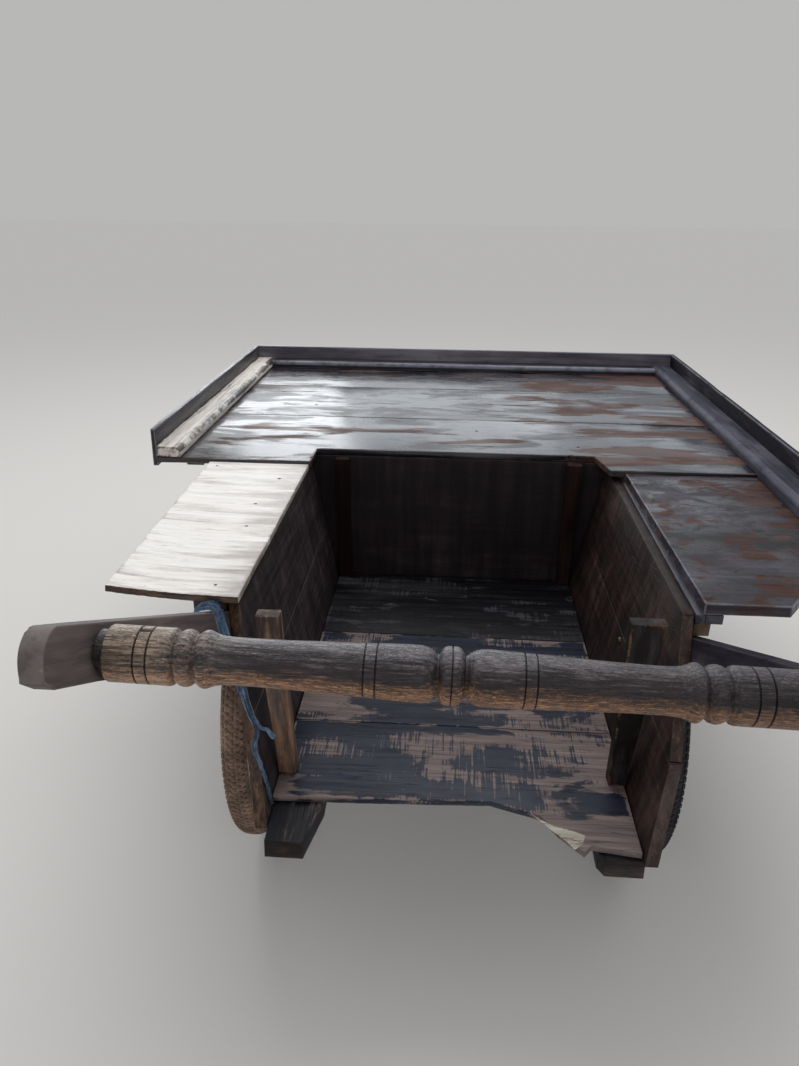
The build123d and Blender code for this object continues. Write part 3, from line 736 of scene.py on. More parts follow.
def wornBoard(name, node, finish, slotName, **changes):
    # a copy of the sawn board with its edges eased, slightly wavy and chipped
    look = dict(boardLook, **changes)
    piece = newPiece(name, nodes[node].data.copy())
    piece.data.materials.clear()
    piece.data.materials.append(finish)
    onlyThis(piece)
    bpy.ops.mesh.customdata_custom_splitnormals_clear()
    bpy.ops.object.mode_set(mode="EDIT")
    bpy.ops.mesh.select_mode(type="EDGE")
    bpy.ops.mesh.select_all(action="SELECT")
    bpy.ops.mesh.remove_doubles(threshold=0.00002)
    bpy.ops.mesh.dissolve_limited(angle_limit=math.radians(0.6))
    bpy.ops.mesh.select_all(action="DESELECT")
    bpy.ops.mesh.edges_select_sharp(sharpness=math.radians(28))
    bpy.ops.mesh.bevel(offset=look["round"], segments=2, profile=0.6, affect="EDGES", clamp_overlap=True)
    bpy.ops.mesh.select_mode(type="FACE")
    bpy.ops.mesh.select_all(action="DESELECT")

    # an inset along the edges, which are marked as worn
    shape = bmesh.from_edit_mesh(piece.data)
    narrow = shape.faces.layers.int.new("narrow")
    wear = shape.verts.layers.float.new("edgeWearAndGrooveShade")
    for vert in shape.verts:
        vert[wear] = 1.0
    for face in shape.faces:
        area = face.calc_area()
        shortest = min(edge.calc_length() for edge in face.edges)
        wideEnough = len(face.edges) != 4 or shortest > 2.6 * look["inset"]
        broad = area > look["broadArea"] and wideEnough
        face.select_set(broad)
        face[narrow] = int(not broad and area > look["thinArea"] and shortest > look["thinWidth"])
    bmesh.update_edit_mesh(piece.data)
    bpy.ops.mesh.inset(thickness=look["inset"], use_individual=False, use_even_offset=True)
    shape = bmesh.from_edit_mesh(piece.data)
    unworn(shape)
    narrow = shape.faces.layers.int["narrow"]
    for face in shape.faces:
        face.select_set(face[narrow] == 1)
    marked = any(face.select for face in shape.faces)
    bmesh.update_edit_mesh(piece.data)
    if marked:
        bpy.ops.mesh.inset(thickness=look["thinInset"], use_individual=False, use_even_offset=True)
        unworn(bmesh.from_edit_mesh(piece.data))
        bmesh.update_edit_mesh(piece.data)

    # cuts across the grain, so that the board can wave
    along = Vector([float(letter == look["grain"]) for letter in "XYZ"])
    reaches = [along.dot(vert.co) for vert in bmesh.from_edit_mesh(piece.data).verts]
    low, high = min(reaches), max(reaches)
    cuts = max(1, int((high - low) / look["step"]))
    wander = random.Random(node)
    for cut in range(1, cuts):
        spot = low + (high - low) * (cut + wander.uniform(-0.3, 0.3)) / cuts
        bpy.ops.mesh.select_all(action="SELECT")
        bpy.ops.mesh.bisect(plane_co=along * spot, plane_no=along, threshold=0.0002)
    editDone()

    values = piece.data.attributes["edgeWearAndGrooveShade"].data
    lowest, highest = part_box(node)
    sizes = [b - a for a, b in zip(lowest, highest)]
    flat = sizes.index(min(sizes))
    start = wander.uniform(0, 40)
    for vert in piece.data.vertices:
        where = vert.co + Vector((start, start * 0.7, start * 1.3))
        deep = max(0.0, noise.noise(where * 9.0) - 0.05) * look["chip"] * 2.2
        dent = deep + abs(noise.noise(where * 26.0)) * look["chip"] * 0.5
        # the faces that touch the next board stay where they are
        sway = (0.5 + 0.5 * noise.noise(where * 3.0)) * look["wave"] * abs(vert.normal[flat])
        vert.co -= vert.normal * (values[vert.index].value * dent + sway)
    skin = look["skin"]
    for vert in piece.data.vertices:
        vert.co = [min(max(v, a + skin), b - skin) for v, a, b in zip(vert.co, lowest, highest)]
    if look["ends"]:
        # the near end shows end grain
        piece.data.materials.append(look["ends"])
        for face in piece.data.polygons:
            if face.normal.y < -0.6:
                face.material_index = 1
    smoothed(40)
    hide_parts(node)
    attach(piece, "frame")


painted, dark, worn, bare = "painted_wood", "dark_wood", "worn_wood", "bare_wood"
# piece, node, left and right finish, slot, grain, rounding, chips; Side and side stand for left and right
boardTable = (
    ("tablePlankNear", "table_plank_near", tableFinish, None, painted, "X", 0.0022, 0.0014),
    ("tablePlankMiddle", "table_plank_middle", tableFarFinish, None, painted, "X", 0.0018, 0.0012),
    ("tablePlankFar", "table_plank_far", tableFarFinish, None, painted, "X", 0.0018, 0.0012),
    ("rimBoardSide", "rim_side", rimFinish, rimRightFinish, painted, "Y", 0.0022, 0.0016),
    ("rimBoardFront", "rim_front", rimFrontFinish, None, painted, "X", 0.0022, 0.0016),
    ("mouldingStripSide", "moulding_side", mouldingFinish, mouldingRightFinish, painted, "Y", 0.0020, 0.0014),
    ("mouldingStripFront", "moulding_front", mouldingFrontFinish, None, painted, "X", 0.0020, 0.0014),
    ("tableBearerSide", "table_bearer_side", battenFinish, battenFinish, dark, "Y", 0.002, 0.001),
    ("tableBattenSide", "table_batten_side", battenFinish, battenFinish, dark, "Y", 0.002, 0.001),
    ("frontLegSide", "front_leg_side", legFinish, legFinish, dark, "Z", 0.003, 0.002),
    ("legCrossRail", "leg_rail", railFinish, None, dark, "X", 0.002, 0.001),
    ("binPlankSideUpper", "bin_wall_side_upper", wallLeftFinish, wallFinish, dark, "Y", 0.0022, 0.0016),
    ("binPlankSideLower", "bin_wall_side_lower", wallLeftFinish, wallFinish, dark, "Y", 0.0009, 0.0008),
    ("binFrontBoard", "bin_front_wall", frontWallFinish, None, dark, "X", 0.002, 0.001),
    ("cornerPostSide", "corner_post_side", cornerFinish, cornerFinish, dark, "Z", 0.002, 0.001),
    ("endPostSide", "end_post_side", postFinish, postDarkFinish, worn, "Z", 0.0026, 0.002),
    ("floorPlankFar", "floor_board_far", floorDarkFinish, None, painted, "X", 0.0014, 0.001),
    ("floorPlankMiddle", "floor_board_middle", floorFinish, None, painted, "X", 0.0014, 0.001),
    ("floorPlankNear", "floor_board_near", floorFinish, None, painted, "X", 0.0014, 0.0014),
    ("floorBeamSide", "floor_beam_side", beamFinish, beamFinish, worn, "Y", 0.002, 0.0016),
    ("flapBoardRight", "flap_right", flapDarkFinish, None, painted, "X", 0.0014, 0.0014),
    ("ledgerStripSide", "ledger_side", ledgerFinish, ledgerFinish, painted, "Y", 0.0014, 0.0008),
    ("flapBearerSide", "flap_bearer_side", ledgerFinish, ledgerFinish, dark, "Y", 0.0016, 0.0008),
    ("armPlankSide", "arm_side", armFinish, armRightFinish, worn, "Y", 0.0034, 0.0022),
    ("packingPieceSide", "packing_block_side", packFinish, packFinish, bare, "Y", 0.0012, 0.0006),
    ("axleBlockSide", "axle_block_side", beamFinish, beamFinish, dark, "Y", 0.002, 0.001),
)
# end grain at the near end, left and right
nearEnds = {
    "binPlankSideUpper": (wallEndFinish, wallEndRightFinish),
    "binPlankSideLower": (wallEndFinish, wallEndRightFinish),
    "floorBeamSide": (beamEndFinish, beamEndFinish),
}
for pieceName, nodeName, leftFinish, rightFinish, slotName, grain, rounding, chips in boardTable:
    leftEnd, rightEnd = nearEnds.get(pieceName, (None, None))
    if rightFinish:
        sides = (("left", leftFinish, leftEnd), ("right", rightFinish, rightEnd))
    else:
        sides = (("", leftFinish, None),)
    for side, finish, ends in sides:
        name = pieceName.replace("Side", side.capitalize())
        node = nodeName.replace("side", side)
        wornBoard(name, node, finish, slotName, grain=grain, round=rounding, chip=chips, ends=ends)


print("left flap")
warpedFlap = {
    "inner": -0.3446,
    "outer": -0.5723,
    "narrow": 0.0208,
    "near": -0.6204,
    "far": 0.0144,
    "top": 0.7429,
    "thick": 0.0116,
    "lift": 0.012,
    # faces across and along
    "cells": (44, 110),
    "wornWidth": 0.006,
    # how far the near edge, the long edges and the top are uneven
    "ragged": 0.0022,
    "wavy": 0.0016,
    "sag": 0.0005,
    "rounding": 0.0012,
}


def makeWarpedFlap(look):
    # a thin board, cupped up at its outer near corner, with a ragged near edge
    across, along = look["cells"]
    piece = added(bpy.ops.mesh.primitive_grid_add, x_subdivisions=across, y_subdivisions=along, size=1.0)
    piece.name = "flapBoardLeft"
    mesh = piece.data
    mesh.name = "flapBoardLeft"
    wear = mesh.attributes.new("edgeWearAndGrooveShade", "FLOAT", "POINT")
    near, long = look["near"], look["far"] - look["near"]
    for vert in mesh.vertices:
        u, v = 0.5 - vert.co.x, vert.co.y + 0.5
        y = near + long * v
        wide = look["inner"] - look["outer"] - look["narrow"] * (1 - v)
        x = look["inner"] - wide * u
        z = look["top"] + look["lift"] * u * u * (1 - v)
        fromEdge = min(u * wide, (1 - u) * wide, y - near)
        wear.data[vert.index].value = max(0.0, 1.0 - fromEdge / look["wornWidth"])
        ragged = abs(noise.noise(Vector((x * 60, 3.0, 0.0)))) * look["ragged"]
        wavy = (0.5 + 0.5 * noise.noise(Vector((0.0, y * 9, 7.0)))) * look["wavy"]
        if v < 0.001:
            y += ragged
        if u < 0.001:
            x -= wavy
        if u > 0.999:
            x += wavy
        z -= (0.5 + 0.5 * noise.noise(Vector((x * 4, y * 30, 2.0)))) * look["sag"]
        vert.co = (x, y, z)
    editMesh(piece)
    normalsOut()
    editDone()
    if mesh.polygons[0].normal.z < 0:
        mesh.flip_normals()
    thickness = piece.modifiers.new("thickness", "SOLIDIFY")
    thickness.thickness = look["thick"]
    thickness.offset = -1.0
    rounding = piece.modifiers.new("rounding", "BEVEL")
    rounding.width = look["rounding"]
    rounding.segments = 2
    rounding.limit_method = "ANGLE"
    rounding.angle_limit = math.radians(50)
    for modifier in ("thickness", "rounding"):
        bpy.ops.object.modifier_apply(modifier=modifier)
    smoothed(40)
    # the top gets the pale finish with painted sunlight; the near edge and underside get the brown one
    mesh.materials.append(flapSunlitPaleFinish)
    mesh.materials.append(flapEdgeFinish)
    for face in mesh.polygons:
        if face.normal.y < -0.6 or face.normal.z < -0.6:
            face.material_index = 1
    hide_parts("flap_left")
    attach(piece, "frame")


makeWarpedFlap(warpedFlap)


# handle bar

print("handle bar")
turnedBar = {
    # reach from the middle bead to the left, to the right, and radius, in millimetres
    "outline": (
        (0, 0, 31.4), (2.5, 2.5, 31.8), (5.5, 5.5, 31.6), (8.5, 8.5, 30.4), (11, 11, 28),
        (12.8, 12.8, 25), (14.2, 14.2, 22.7), (15.6, 15.6, 22.6), (17.4, 17.4, 24), (20, 20, 26.4),
        (25, 25, 28.9), (32, 32, 30.6), (42, 42, 31), (60, 60, 30.5), (95, 95, 29.2),
        (135, 133, 27.8), (175, 171, 26.6), (210, 204, 26), (232, 224, 25.9),
        (244, 235.5, 26.3), (252, 243, 27.6), (258, 249, 29.8), (261.5, 252.5, 31.4),
        (264.5, 255.5, 31.9), (267.5, 258.3, 31.2), (270.5, 261.2, 29), (273, 263.5, 26.6),
        (274.8, 265.3, 26.2), (276.8, 267.2, 27.6), (280, 270.4, 30.2), (283.5, 274.3, 31.2),
        (286.5, 277.6, 31.3), (290, 281.4, 30.4), (293, 285.2, 28.4), (295.2, 288, 27.2),
        (297, 290.2, 28.2), (298.8, 292.6, 30.6), (301, 295.4, 31.5), (330, 325, 31.5),
        (368, 384.5, 31.5), (369.2, 385.7, 30.8), (369.5, 386, 25.5), (380, 396.45, 25.5),
    ),
    # grooves: reach to the left, to the right, half width, depth
    "grooves": (
        (0, 0, 0.9, 1.6), (80, 76, 1, 2), (92.5, 88.5, 1, 2), (322, 312, 1.2, 2.2),
        (335.5, 328, 1.2, 2.2),
    ),
    # valleys between the beads, which get painted shade: reach to the left, to the right, half width
    "valleys": ((14.9, 14.9, 2.6), (274.4, 264.8, 3.0), (295.2, 288.0, 3.0)),
    "valleyShade": 0.75,
    "fullGrooveShade": 1.2,
    "ends": (379.96, 396.45),
    "step": 2.5,
    "segments": 96,
    # depths of the dents and of the wide flats, in metres
    "dents": 0.0003,
    "flats": 0.0006,
    # a slot cut in the top near the left end: from, to, half width, depth in metres
    "slot": (-0.3345, -0.3235, 0.0035, 0.002),
    # the ends are cut to the lean of the arms, a little inside the turned length
    "endSlope": 60.0 / 292.0,
    "endShare": 0.9985,
}


def turnedLine(look, side):
    # reach, radius and painted groove shade in fine steps from the middle to one end; side 0 is the left
    outline = [(row[side], row[2]) for row in look["outline"]]
    grooves = [(row[side], row[2], row[3]) for row in look["grooves"]]
    valleys = [(row[side], row[2]) for row in look["valleys"]]
    end = look["ends"][side]
    line = [reach for reach, radius in outline if reach < end] + [end]
    reach = 0.0
    while reach < end:
        line.append(reach)
        reach += look["step"]
    for middle, half, _ in grooves:
        spots = [middle + half * share for share in (-1, -0.35, 0, 0.35, 1)]
        line.extend(spot for spot in spots if 0 <= spot <= end)
    points = []
    for reach in sorted(set(round(spot, 2) for spot in line)):
        radius = outline[-1][1]
        for (x0, r0), (x1, r1) in zip(outline, outline[1:]):
            if x0 <= reach <= x1:
                radius = r0 + (r1 - r0) * (reach - x0) / (x1 - x0)
                break
        cut = 0.0
        for middle, half, deep in grooves:
            off = abs(reach - middle) / half
            if off < 1.0:
                cut = max(cut, deep * (1.0 if off <= 0.4 else (1.0 - off) / 0.6))
        # painted shade in the grooves, by their depth, and in the valleys between the beads
        lying = max(max(0.0, 1.0 - abs(reach - middle) / half) for middle, half in valleys)
        grooveShade = max(cut, look["valleyShade"] * lying)
        # painted shade: the tenon beyond the shoulder is painted as dark as a groove
        points.append((reach, radius - cut, look["fullGrooveShade"] if reach > outline[-2][0] else grooveShade))
    return points


def profiled(name, outline, closed=False):
    # a line of edges through reaches and radii in millimetres
    mesh = bpy.data.meshes.new(name)
    count = len(outline)
    edges = [(i, (i + 1) % count) for i in range(count if closed else count - 1)]
    mesh.from_pydata([(x / 1000, 0.0, r / 1000) for x, r in outline], edges, [])
    return newPiece(name, mesh)


def spun(piece, segments):
    # the profile turned once round the X axis, left in edit mode
    editMesh(piece)
    bpy.ops.mesh.spin(steps=segments, angle=2 * math.pi, center=(0, 0, 0), axis=(1, 0, 0))
    bpy.ops.mesh.select_all(action="SELECT")
    bpy.ops.mesh.remove_doubles(threshold=0.00002)


def makeHandle(look):
    left = [(-x, r, c) for x, r, c in reversed(turnedLine(look, 0)) if x > 0]
    profile = left + turnedLine(look, 1)
    piece = profiled("turnedHandle", [(x, r) for x, r, _ in profile])
    mesh = piece.data
    # this attribute holds painted shade: in the grooves by their depth, in the valleys, the slot and the
    # tenon
    groove = mesh.attributes.new("edgeWearAndGrooveShade", "FLOAT", "POINT")
    for index, (_, _, grooveShade) in enumerate(profile):
        groove.data[index].value = min(1.0, grooveShade / look["fullGrooveShade"])
    spun(piece, look["segments"])
    bpy.ops.mesh.select_all(action="DESELECT")
    bpy.ops.mesh.select_mode(type="EDGE")
    bpy.ops.mesh.select_non_manifold()
    bpy.ops.mesh.edge_face_add()
    normalsOut()
    editDone()
    # small dents and the flats that years of hands have left
    for vert in mesh.vertices:
        out = Vector((0.0, vert.co.y, vert.co.z))
        if out.length > 0.001:
            dent = noise.noise(Vector((vert.co.x * 16, vert.co.y * 40, vert.co.z * 40)))
            wide = noise.noise(Vector((vert.co.x * 5 + 9, vert.co.y * 14, vert.co.z * 14)))
            deep = max(0.0, dent) * look["dents"] + max(0.0, wide) * look["flats"]
            vert.co -= out.normalized() * deep
    groove = mesh.attributes["edgeWearAndGrooveShade"]
    slotStart, slotEnd, slotHalf, slotDeep = look["slot"]
    for vert in mesh.vertices:
        if slotStart < vert.co.x < slotEnd and abs(vert.co.y) < slotHalf and vert.co.z > 0:
            # painted shade in the slot
            groove.data[vert.index].value = 1.0
            vert.co.z -= slotDeep
    along = handleAxis["along"]
    side = Vector((0.0, 1.0, 0.0))
    facing = Matrix((along, side, along.cross(side))).transposed().to_4x4()
    mesh.transform(Matrix.Translation(handleAxis["centre"]) @ facing)
    for sign, end in zip((-1, 1), look["ends"]):
        edge = handleAxis["centre"] + along * sign * end / 1000 * look["endShare"]
        plane = {"plane_co": edge, "plane_no": (sign, 0.0, -look["endSlope"])}
        editMesh(piece)
        bpy.ops.mesh.bisect(**plane, use_fill=True, clear_outer=True, threshold=0.00001)
        editDone()
    smoothed(50)
    mesh.materials.append(handleFinish)
    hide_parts("handle")
    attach(piece, "frame")


makeHandle(turnedBar)


# wheels

print("wheels")
wheelPlace = {"left": Vector((-0.405, -0.2105, 0.33)), "right": Vector((0.384, -0.2105, 0.33))}


def mirrored(half):
    # an outline and its mirror image, read back to the start
    return [*half, *((-x, r) for x, r in reversed(half) if x)]


def ring(name, outline, segments):
    # a closed profile, spun into a ring round the axle line
    piece = profiled(name, outline, closed=True)
    spun(piece, segments)
    bpy.ops.mesh.normals_make_consistent(inside=False)
    editDone()
    return piece


def joined(name, parts):
    bpy.ops.object.select_all(action="DESELECT")
    for part in parts:
        part.select_set(True)
    bpy.context.view_layer.objects.active = parts[0]
    bpy.ops.object.join()
    parts[0].name = name
    parts[0].data.name = name
    return parts[0]


def copied(piece, name, offset):
    again = newPiece(name, piece.data.copy())
    again.data.transform(Matrix.Translation(offset))
    return again


tyreShape = {
    # reach from the middle plane and radius in millimetres, from the crown to the bead of the casing
    "casing": (
        (0, 328.2), (6, 328), (12, 326.8), (17, 324), (20.8, 319.4), (22.2, 313), (22, 306),
        (20.4, 300), (18, 295.4), (16.2, 292.6), (15.4, 291.4),
    ),
    "segments": 138,
    "pitches": 138,
    # wide, long, tall, radius, lean, across, slant, shift along the pitch; those off the middle are paired
    "lugs": (
        (7, 9.6, 3, 326.4, 0, 0, 0, 0),
        (6.4, 8.6, 2.9, 326, 8, 8.6, -28, 0.5),
        (6.6, 9.4, 3, 322.6, 36, 16.8, 0, 0),
        (6, 6.4, 1.4, 315.6, 74, 21.2, 0, 0.5),
    ),
    # how far a lug reaches into the casing, in millimetres
    "lugRoot": 2.0,
    # vertices beyond this radius are worn by the road, in metres
    "wornRadius": 0.3275,
}


def lug(wide, long, tall, radius, lean, across, slant, root):
    # one rubber lug: a block with a smaller top, at its place on the casing
    piece = added(bpy.ops.mesh.primitive_cube_add, size=1.0)
    piece.data.transform(Matrix.Diagonal((wide / 1000, long / 1000, (tall + root) / 1000, 1.0)))
    editMesh(piece)
    bpy.ops.mesh.select_mode(type="FACE")
    bpy.ops.mesh.select_all(action="DESELECT")
    shape = bmesh.from_edit_mesh(piece.data)
    for face in shape.faces:
        face.select_set(face.normal.z > 0.9)
    bmesh.update_edit_mesh(piece.data)
    bpy.ops.mesh.inset(thickness=0.0008)
    bpy.ops.transform.translate(value=(0.0, 0.0, 0.0006))
    editDone()
    piece.data.transform(turned(slant, "Z"))
    piece.data.transform(Matrix.Translation((0.0, 0.0, (tall - root) / 2000)))
    piece.data.transform(turned(lean, "Y"))
    piece.data.transform(Matrix.Translation((across / 1000, 0.0, radius / 1000)))
    return piece


def makeTyre(look):
    casing = ring("tyreCasing", mirrored(look["casing"]), look["segments"])
    pitches = look["pitches"]
    verts, faces = [], []
    for wide, long, tall, radius, lean, across, slant, shift in look["lugs"]:
        for side in (-1, 1) if across else (1,):
            one = lug(wide, long, tall, radius, side * lean, side * across, side * slant, look["lugRoot"])
            own = [v.co.copy() for v in one.data.vertices]
            polygons = [list(p.vertices) for p in one.data.polygons]
            for pitch in range(pitches):
                spin = Matrix.Rotation(2 * math.pi * (pitch + shift) / pitches, 3, "X")
                base = len(verts)
                verts.extend(spin @ co for co in own)
                faces.extend([base + index for index in polygon] for polygon in polygons)
            bpy.data.objects.remove(one)
    mesh = bpy.data.meshes.new("treadLugs")
    mesh.from_pydata(verts, [], faces)
    tread = newPiece("treadLugs", mesh)
    raised = mesh.attributes.new("edgeWearAndGrooveShade", "FLOAT", "POINT")
    for vert in mesh.vertices:
        outside = math.hypot(vert.co.y, vert.co.z) > look["wornRadius"]
        raised.data[vert.index].value = 1.0 if outside else 0.2
    return joined("tyreMaster", [casing, tread])


# reach and radius in millimetres: outside and inside of the rim, half of the hub
rimOutside = (
    (17, 291.6), (17, 286), (16, 284.4), (14.4, 283.4), (12.8, 280.8), (10.6, 277), (8.2, 274.4),
    (3, 273.2),
)
rimInside = ((-14.6, 291.6), (-13.0, 287.0), (-9.0, 284.0), (0.0, 283.0))
hubHalf = (
    (48, 10.3), (48, 13), (47, 14.2), (43.5, 14.2), (42.8, 17), (41, 19.6), (37, 21),
    (32.6, 21), (31.6, 22.5), (31.4, 35), (30.4, 36), (27.6, 36), (26.8, 35), (26.6, 23),
    (24, 20), (18, 18.4), (0, 18),
)
# pairs on each side of the wheel; angles in degrees, lengths in metres
spokeLook = {
    "pairs": 9,
    "cross": 42.0,
    "spread": 4.0,
    "flange": 0.029,
    "dish": 0.0026,
    "root": 0.031,
    "tip": 0.2739,
    "radius": 0.00115,
    "nipple": 0.0022,
    "nippleLong": 0.013,
    "head": 0.0022,
    "sides": 8,
}


def rod(start, stop, radius, sides):
    # a round rod between two points
    size = {"vertices": sides, "radius": radius, "depth": (stop - start).length}
    piece = added(bpy.ops.mesh.primitive_cylinder_add, **size)
    facing = (stop - start).to_track_quat("Z", "Y").to_matrix().to_4x4()
    piece.data.transform(Matrix.Translation((start + stop) / 2) @ facing)
    return piece


def onWheel(across, radius, angle):
    return Vector((across, radius * math.cos(angle), radius * math.sin(angle)))


def makeSpokes(look):
    # crossed pairs, each spoke with its nipple at the rim and its head at the flange
    parts = []
    sides = look["sides"]
    head = Vector((look["head"], 0.0, 0.0))
    for end in (-1, 1):
        for pair in range(look["pairs"]):
            for way in (-1, 1):
                middle = 360.0 / look["pairs"] * (pair + 0.25 * end)
                base = math.radians(middle + way * look["spread"])
                tip = base + math.radians(way * look["cross"])
                start = onWheel(end * look["flange"], look["root"], base)
                stop = onWheel(end * look["dish"], look["tip"], tip)
                back = (start - stop).normalized() * look["nippleLong"]
                parts.append(rod(start, stop, look["radius"], sides))
                parts.append(rod(stop, stop + back, look["nipple"], sides))
                parts.append(rod(start - head, start + head, look["head"], sides))
    return joined("spokeSet", parts)


tyreMaster = makeTyre(tyreShape)
rimMaster = ring("rimMaster", mirrored(rimOutside) + mirrored(rimInside), 96)
hubMaster = ring("hubMaster", mirrored(hubHalf), 40)
spokeMaster = makeSpokes(spokeLook)
for piece in (rimMaster, hubMaster, spokeMaster, tyreMaster):
    onlyThis(piece)
    smoothed(42)
hubMaster = joined("hubMaster", [hubMaster, spokeMaster])
hubMaster.data.materials.append(hubFinish)
rimMaster.data.materials.append(rimSteelFinish)
for side, tyreFinish in (("left", tyreLeftFinish), ("right", tyreRightFinish)):
    ending = side.capitalize()
    tyre = copied(tyreMaster, "treadedTyre" + ending, wheelPlace[side])
    tyre.data.materials.append(tyreFinish)
    rim = copied(rimMaster, "steelRim" + ending, wheelPlace[side])
    hub = copied(hubMaster, "spokedHub" + ending, wheelPlace[side])
    wheelParts = ((tyre, "tyre_", "tyre"), (rim, "wheel_rim_", "rim_steel"), (hub, "hub_", "hub_steel"))
    for piece, node, slotName in wheelParts:
        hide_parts(node + side)
        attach(piece, "wheel_" + side)
for piece in (tyreMaster, rimMaster, hubMaster):
    bpy.data.objects.remove(piece)

axle = nodes["axle"]
axle.data.materials.clear()
axle.data.materials.append(axleFinish)


# cloth strip

print("cloth strip")
strip = {
    # the way of the strip: place, visible width, turn of its face, in metres and degrees
    "way": (
        (-0.28, -0.708, 0.552, 0.007, 0), (-0.292, -0.699, 0.557, 0.006, 20),
        (-0.306, -0.693, 0.56, 0.006, 60), (-0.318, -0.688, 0.58, 0.006, 100),
        (-0.33, -0.68, 0.62, 0.008, 160), (-0.344, -0.666, 0.656, 0.012, 190),
        (-0.364, -0.648, 0.654, 0.018, 180), (-0.388, -0.64, 0.659, 0.02, 180),
        (-0.4065, -0.638, 0.696, 0.02, 180), (-0.4085, -0.637, 0.721, 0.02, 180),
        (-0.396, -0.637, 0.7325, 0.02, 180), (-0.376, -0.638, 0.7315, 0.022, 180),
        (-0.366, -0.644, 0.703, 0.022, 190), (-0.356, -0.66, 0.67, 0.016, 230),
        (-0.34, -0.674, 0.62, 0.011, 300), (-0.322, -0.687, 0.58, 0.009, 380),
        (-0.312, -0.693, 0.56, 0.007, 420), (-0.31, -0.699, 0.548, 0.006, 440),
        (-0.315, -0.701, 0.53, 0.01, 450), (-0.311, -0.703, 0.512, 0.007, 460),
        (-0.304, -0.705, 0.49, 0.005, 500), (-0.296, -0.708, 0.456, 0.005, 540),
        (-0.29, -0.711, 0.426, 0.006, 560),
    ),
    "flatWidth": 0.034,
    "folds": 3,
    "ruffle": 0.0020,
    "step": 0.003,
    "across": 18,
}


def smoothWay(points, values, step):
    # a smooth line through the points, read off in nearly even steps
    line = []
    for index in range(len(points) - 1):
        p0 = points[max(index - 1, 0)]
        p1, p2 = points[index], points[index + 1]
        p3 = points[min(index + 2, len(points) - 1)]
        count = max(2, int((p2 - p1).length / step))
        for k in range(count):
            t = k / count
            squared = (2 * p0 - 5 * p1 + 4 * p2 - p3) * t * t
            cubed = (3 * p1 - p0 - 3 * p2 + p3) * t ** 3
            place = 0.5 * (2 * p1 + (p2 - p0) * t + squared + cubed)
            line.append((place, [a + (b - a) * t for a, b in zip(values[index], values[index + 1])]))
    line.append((points[-1], list(values[-1])))
    return line


def makeStrip(look):
    points = [Vector(row[:3]) for row in look["way"]]
    line = smoothWay(points, [row[3:] for row in look["way"]], look["step"])
    across, flatWidth, folds = look["across"], look["flatWidth"], look["folds"]
    verts, faces, uvs = [], [], []
    level = Vector((0.0, 1.0, 0.0))
    travelled = 0.0
    for index, (place, (wide, twist)) in enumerate(line):
        ahead = line[min(index + 1, len(line) - 1)][0] - line[max(index - 1, 0)][0]
        ahead.normalize()
        level = (level - ahead * level.dot(ahead)).normalized()
        twisted = turned(twist, ahead, 3)
        sideways, outward = twisted @ level, twisted @ ahead.cross(level)
        # the width that the gathered strip hides lies in its folds
        deep = math.sqrt(max(0.0, flatWidth ** 2 - wide ** 2)) / (4 * folds)
        if index:
            travelled += (place - line[index - 1][0]).length
        for k in range(across + 1):
            u = k / across
            fold = math.sin((u * folds + 0.15 * math.sin(travelled * 60)) * 2 * math.pi)
            ruffle = noise.noise(Vector((travelled * 80, u * 4.0, 0.0))) * look["ruffle"]
            verts.append(place + sideways * ((u - 0.5) * wide) + outward * (fold * deep + ruffle))
            uvs.append((u * flatWidth, travelled))
    for index in range(len(line) - 1):
        for k in range(across):
            a = index * (across + 1) + k
            faces.append((a, a + 1, a + across + 2, a + across + 1))
    mesh = bpy.data.meshes.new("clothStrip")
    mesh.from_pydata(verts, [], faces)
    layer = mesh.uv_layers.new(name="stripUv")
    for loop in mesh.loops:
        layer.data[loop.index].uv = uvs[loop.vertex_index]
    piece = newPiece("clothStrip", mesh)
    mesh.materials.append(clothFinish)
    onlyThis(piece)
    bpy.ops.object.shade_smooth()
    print("cloth length", round(travelled, 3), "area", round(sum(p.area for p in mesh.polygons), 5))
    return piece, travelled


clothStrip, stripLength = makeStrip(strip)
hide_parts("cloth_strip")
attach(clothStrip, "frame")


# nails

print("nails")
nailLook = {"radius": 0.0044, "tall": 0.0010, "sunk": 0.0006}
# top of the board, then x and y of each nail
nailTable = {
    "leftFlap": (0.743, (
        (-0.5466, -0.0145), (-0.3916, -0.0853), (-0.5429, -0.1317), (-0.5341, -0.2669), (-0.4444, -0.3252),
        (-0.3986, -0.3473), (-0.4363, -0.5769), (-0.39, -0.5842), (-0.4381, -0.3713), (-0.518, -0.09),
        (-0.47, -0.21), (-0.408, -0.235),
    )),
    "tableTop": (0.75, (
        (0.0368, 0.2942), (0.2764, 0.181), (-0.572, 0.93), (-0.41, 0.52), (0.4, 0.54),
        (0.54, 0.88),
    )),
    "rightFlap": (0.743, ((0.4449, -0.4638), (0.3803, -0.5601), (0.3842, -0.1413))),
}


def makeNails(name, top, spots, look):
    # flat round heads, a little proud of the board
    parts = []
    radius = look["radius"]
    for x, y in spots:
        piece = added(bpy.ops.mesh.primitive_uv_sphere_add, segments=14, ring_count=7, radius=radius)
        piece.data.transform(Matrix.Diagonal((1.0, 1.0, look["tall"] / radius, 1.0)))
        piece.data.transform(Matrix.Translation((x, y, top - look["sunk"])))
        parts.append(piece)
    nails = joined(name, parts)
    onlyThis(nails)
    bpy.ops.object.shade_smooth()
    nails.data.materials.append(nailFinish)
    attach(nails, "frame")


for nailSet, (top, spots) in nailTable.items():
    makeNails(nailSet + "Nails", top, spots, nailLook)


# torn edge of the floor and a wall bolt

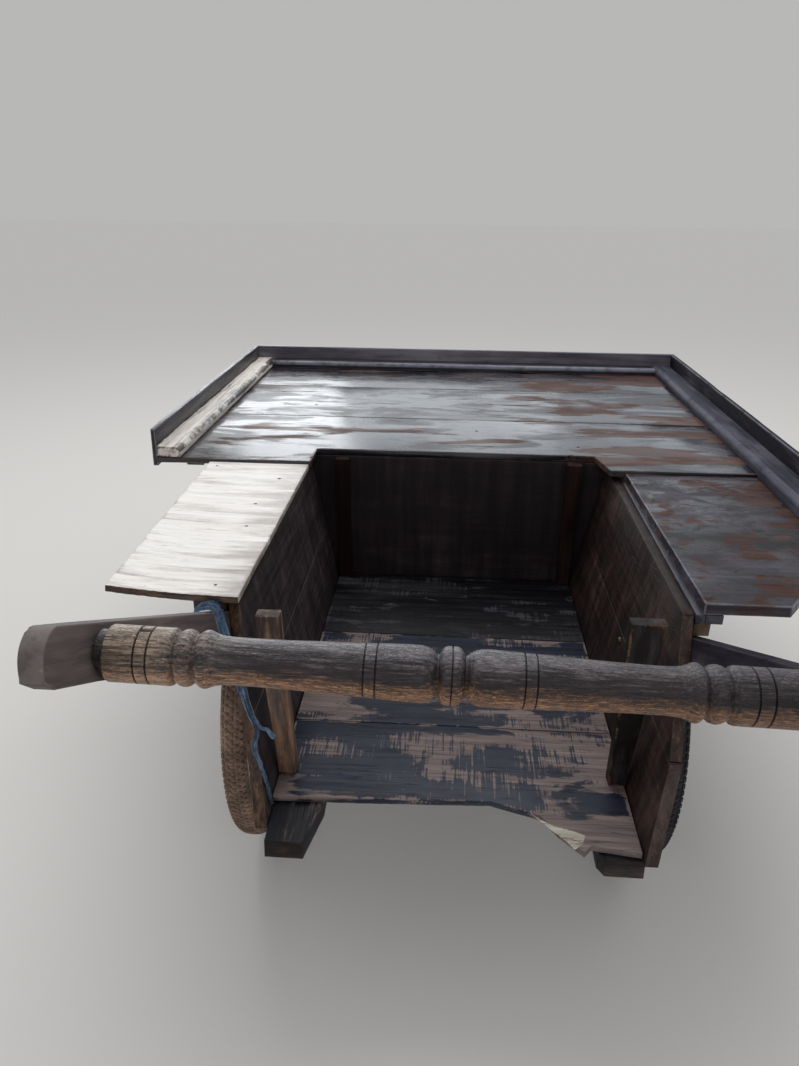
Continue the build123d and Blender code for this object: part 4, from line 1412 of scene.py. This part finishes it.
print("torn edge and wall bolt")
tornEdge = {
    # pale wood along the break, seen from above, in metres
    "outline": (
        (0.1136, -0.7056), (0.1265, -0.7178), (0.148, -0.732), (0.1749, -0.7394), (0.1918, -0.7473),
        (0.1848, -0.766), (0.1721, -0.7759), (0.1629, -0.7618), (0.1466, -0.7443), (0.1305, -0.7271),
    ),
    "thick": 0.0012,
    "ragged": 0.0022,
    "steps": 8,
}


def makeTornEdge(look):
    # a sliver of bare wood at the level of the board, ragged along its edge
    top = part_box("floor_board_near")[1][2] - boardLook["skin"]
    rows, steps = look["outline"], look["steps"]
    outline = []
    for index, (x, y) in enumerate(rows):
        ahead = rows[(index + 1) % len(rows)]
        for k in range(steps):
            t = k / steps
            ragged = noise.noise(Vector((index * 3.1 + t * 7.0, 2.0, 5.0))) * look["ragged"]
            outline.append((x + (ahead[0] - x) * t + ragged, y + (ahead[1] - y) * t - ragged))
    mesh = bpy.data.meshes.new("tornEdgeSliver")
    mesh.from_pydata([(x, y, top) for x, y in outline], [], [tuple(range(len(outline)))])
    piece = newPiece("tornEdgeSliver", mesh)
    editMesh(piece)
    bpy.ops.mesh.normals_make_consistent(inside=False)
    bpy.ops.mesh.extrude_region_move(TRANSFORM_OT_translate={"value": (0.0, 0.0, -look["thick"])})
    normalsOut()
    editDone()
    mesh.materials.append(tornFinish)
    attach(piece, "frame")


makeTornEdge(tornEdge)
wallBolt = {"place": (0.2975, -0.3715, 0.5490), "radius": 0.0055, "deep": 0.004, "edge": 0.0009, "lean": 78.0}


def makeWallBolt(look):
    # the round head of a bolt, set against the leaning right wall
    size = {"vertices": 24, "radius": look["radius"], "depth": look["deep"]}
    piece = added(bpy.ops.mesh.primitive_cylinder_add, **size)
    piece.name = "wallBoltHead"
    piece.data.name = "wallBoltHead"
    editMesh(piece)
    bpy.ops.mesh.bevel(offset=look["edge"], segments=2, affect="EDGES")
    editDone()
    piece.data.transform(Matrix.Translation(look["place"]) @ turned(look["lean"], "Y"))
    smoothed(35)
    piece.data.materials.append(boltFinish)
    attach(piece, "frame")


makeWallBolt(wallBolt)


print("sizes")
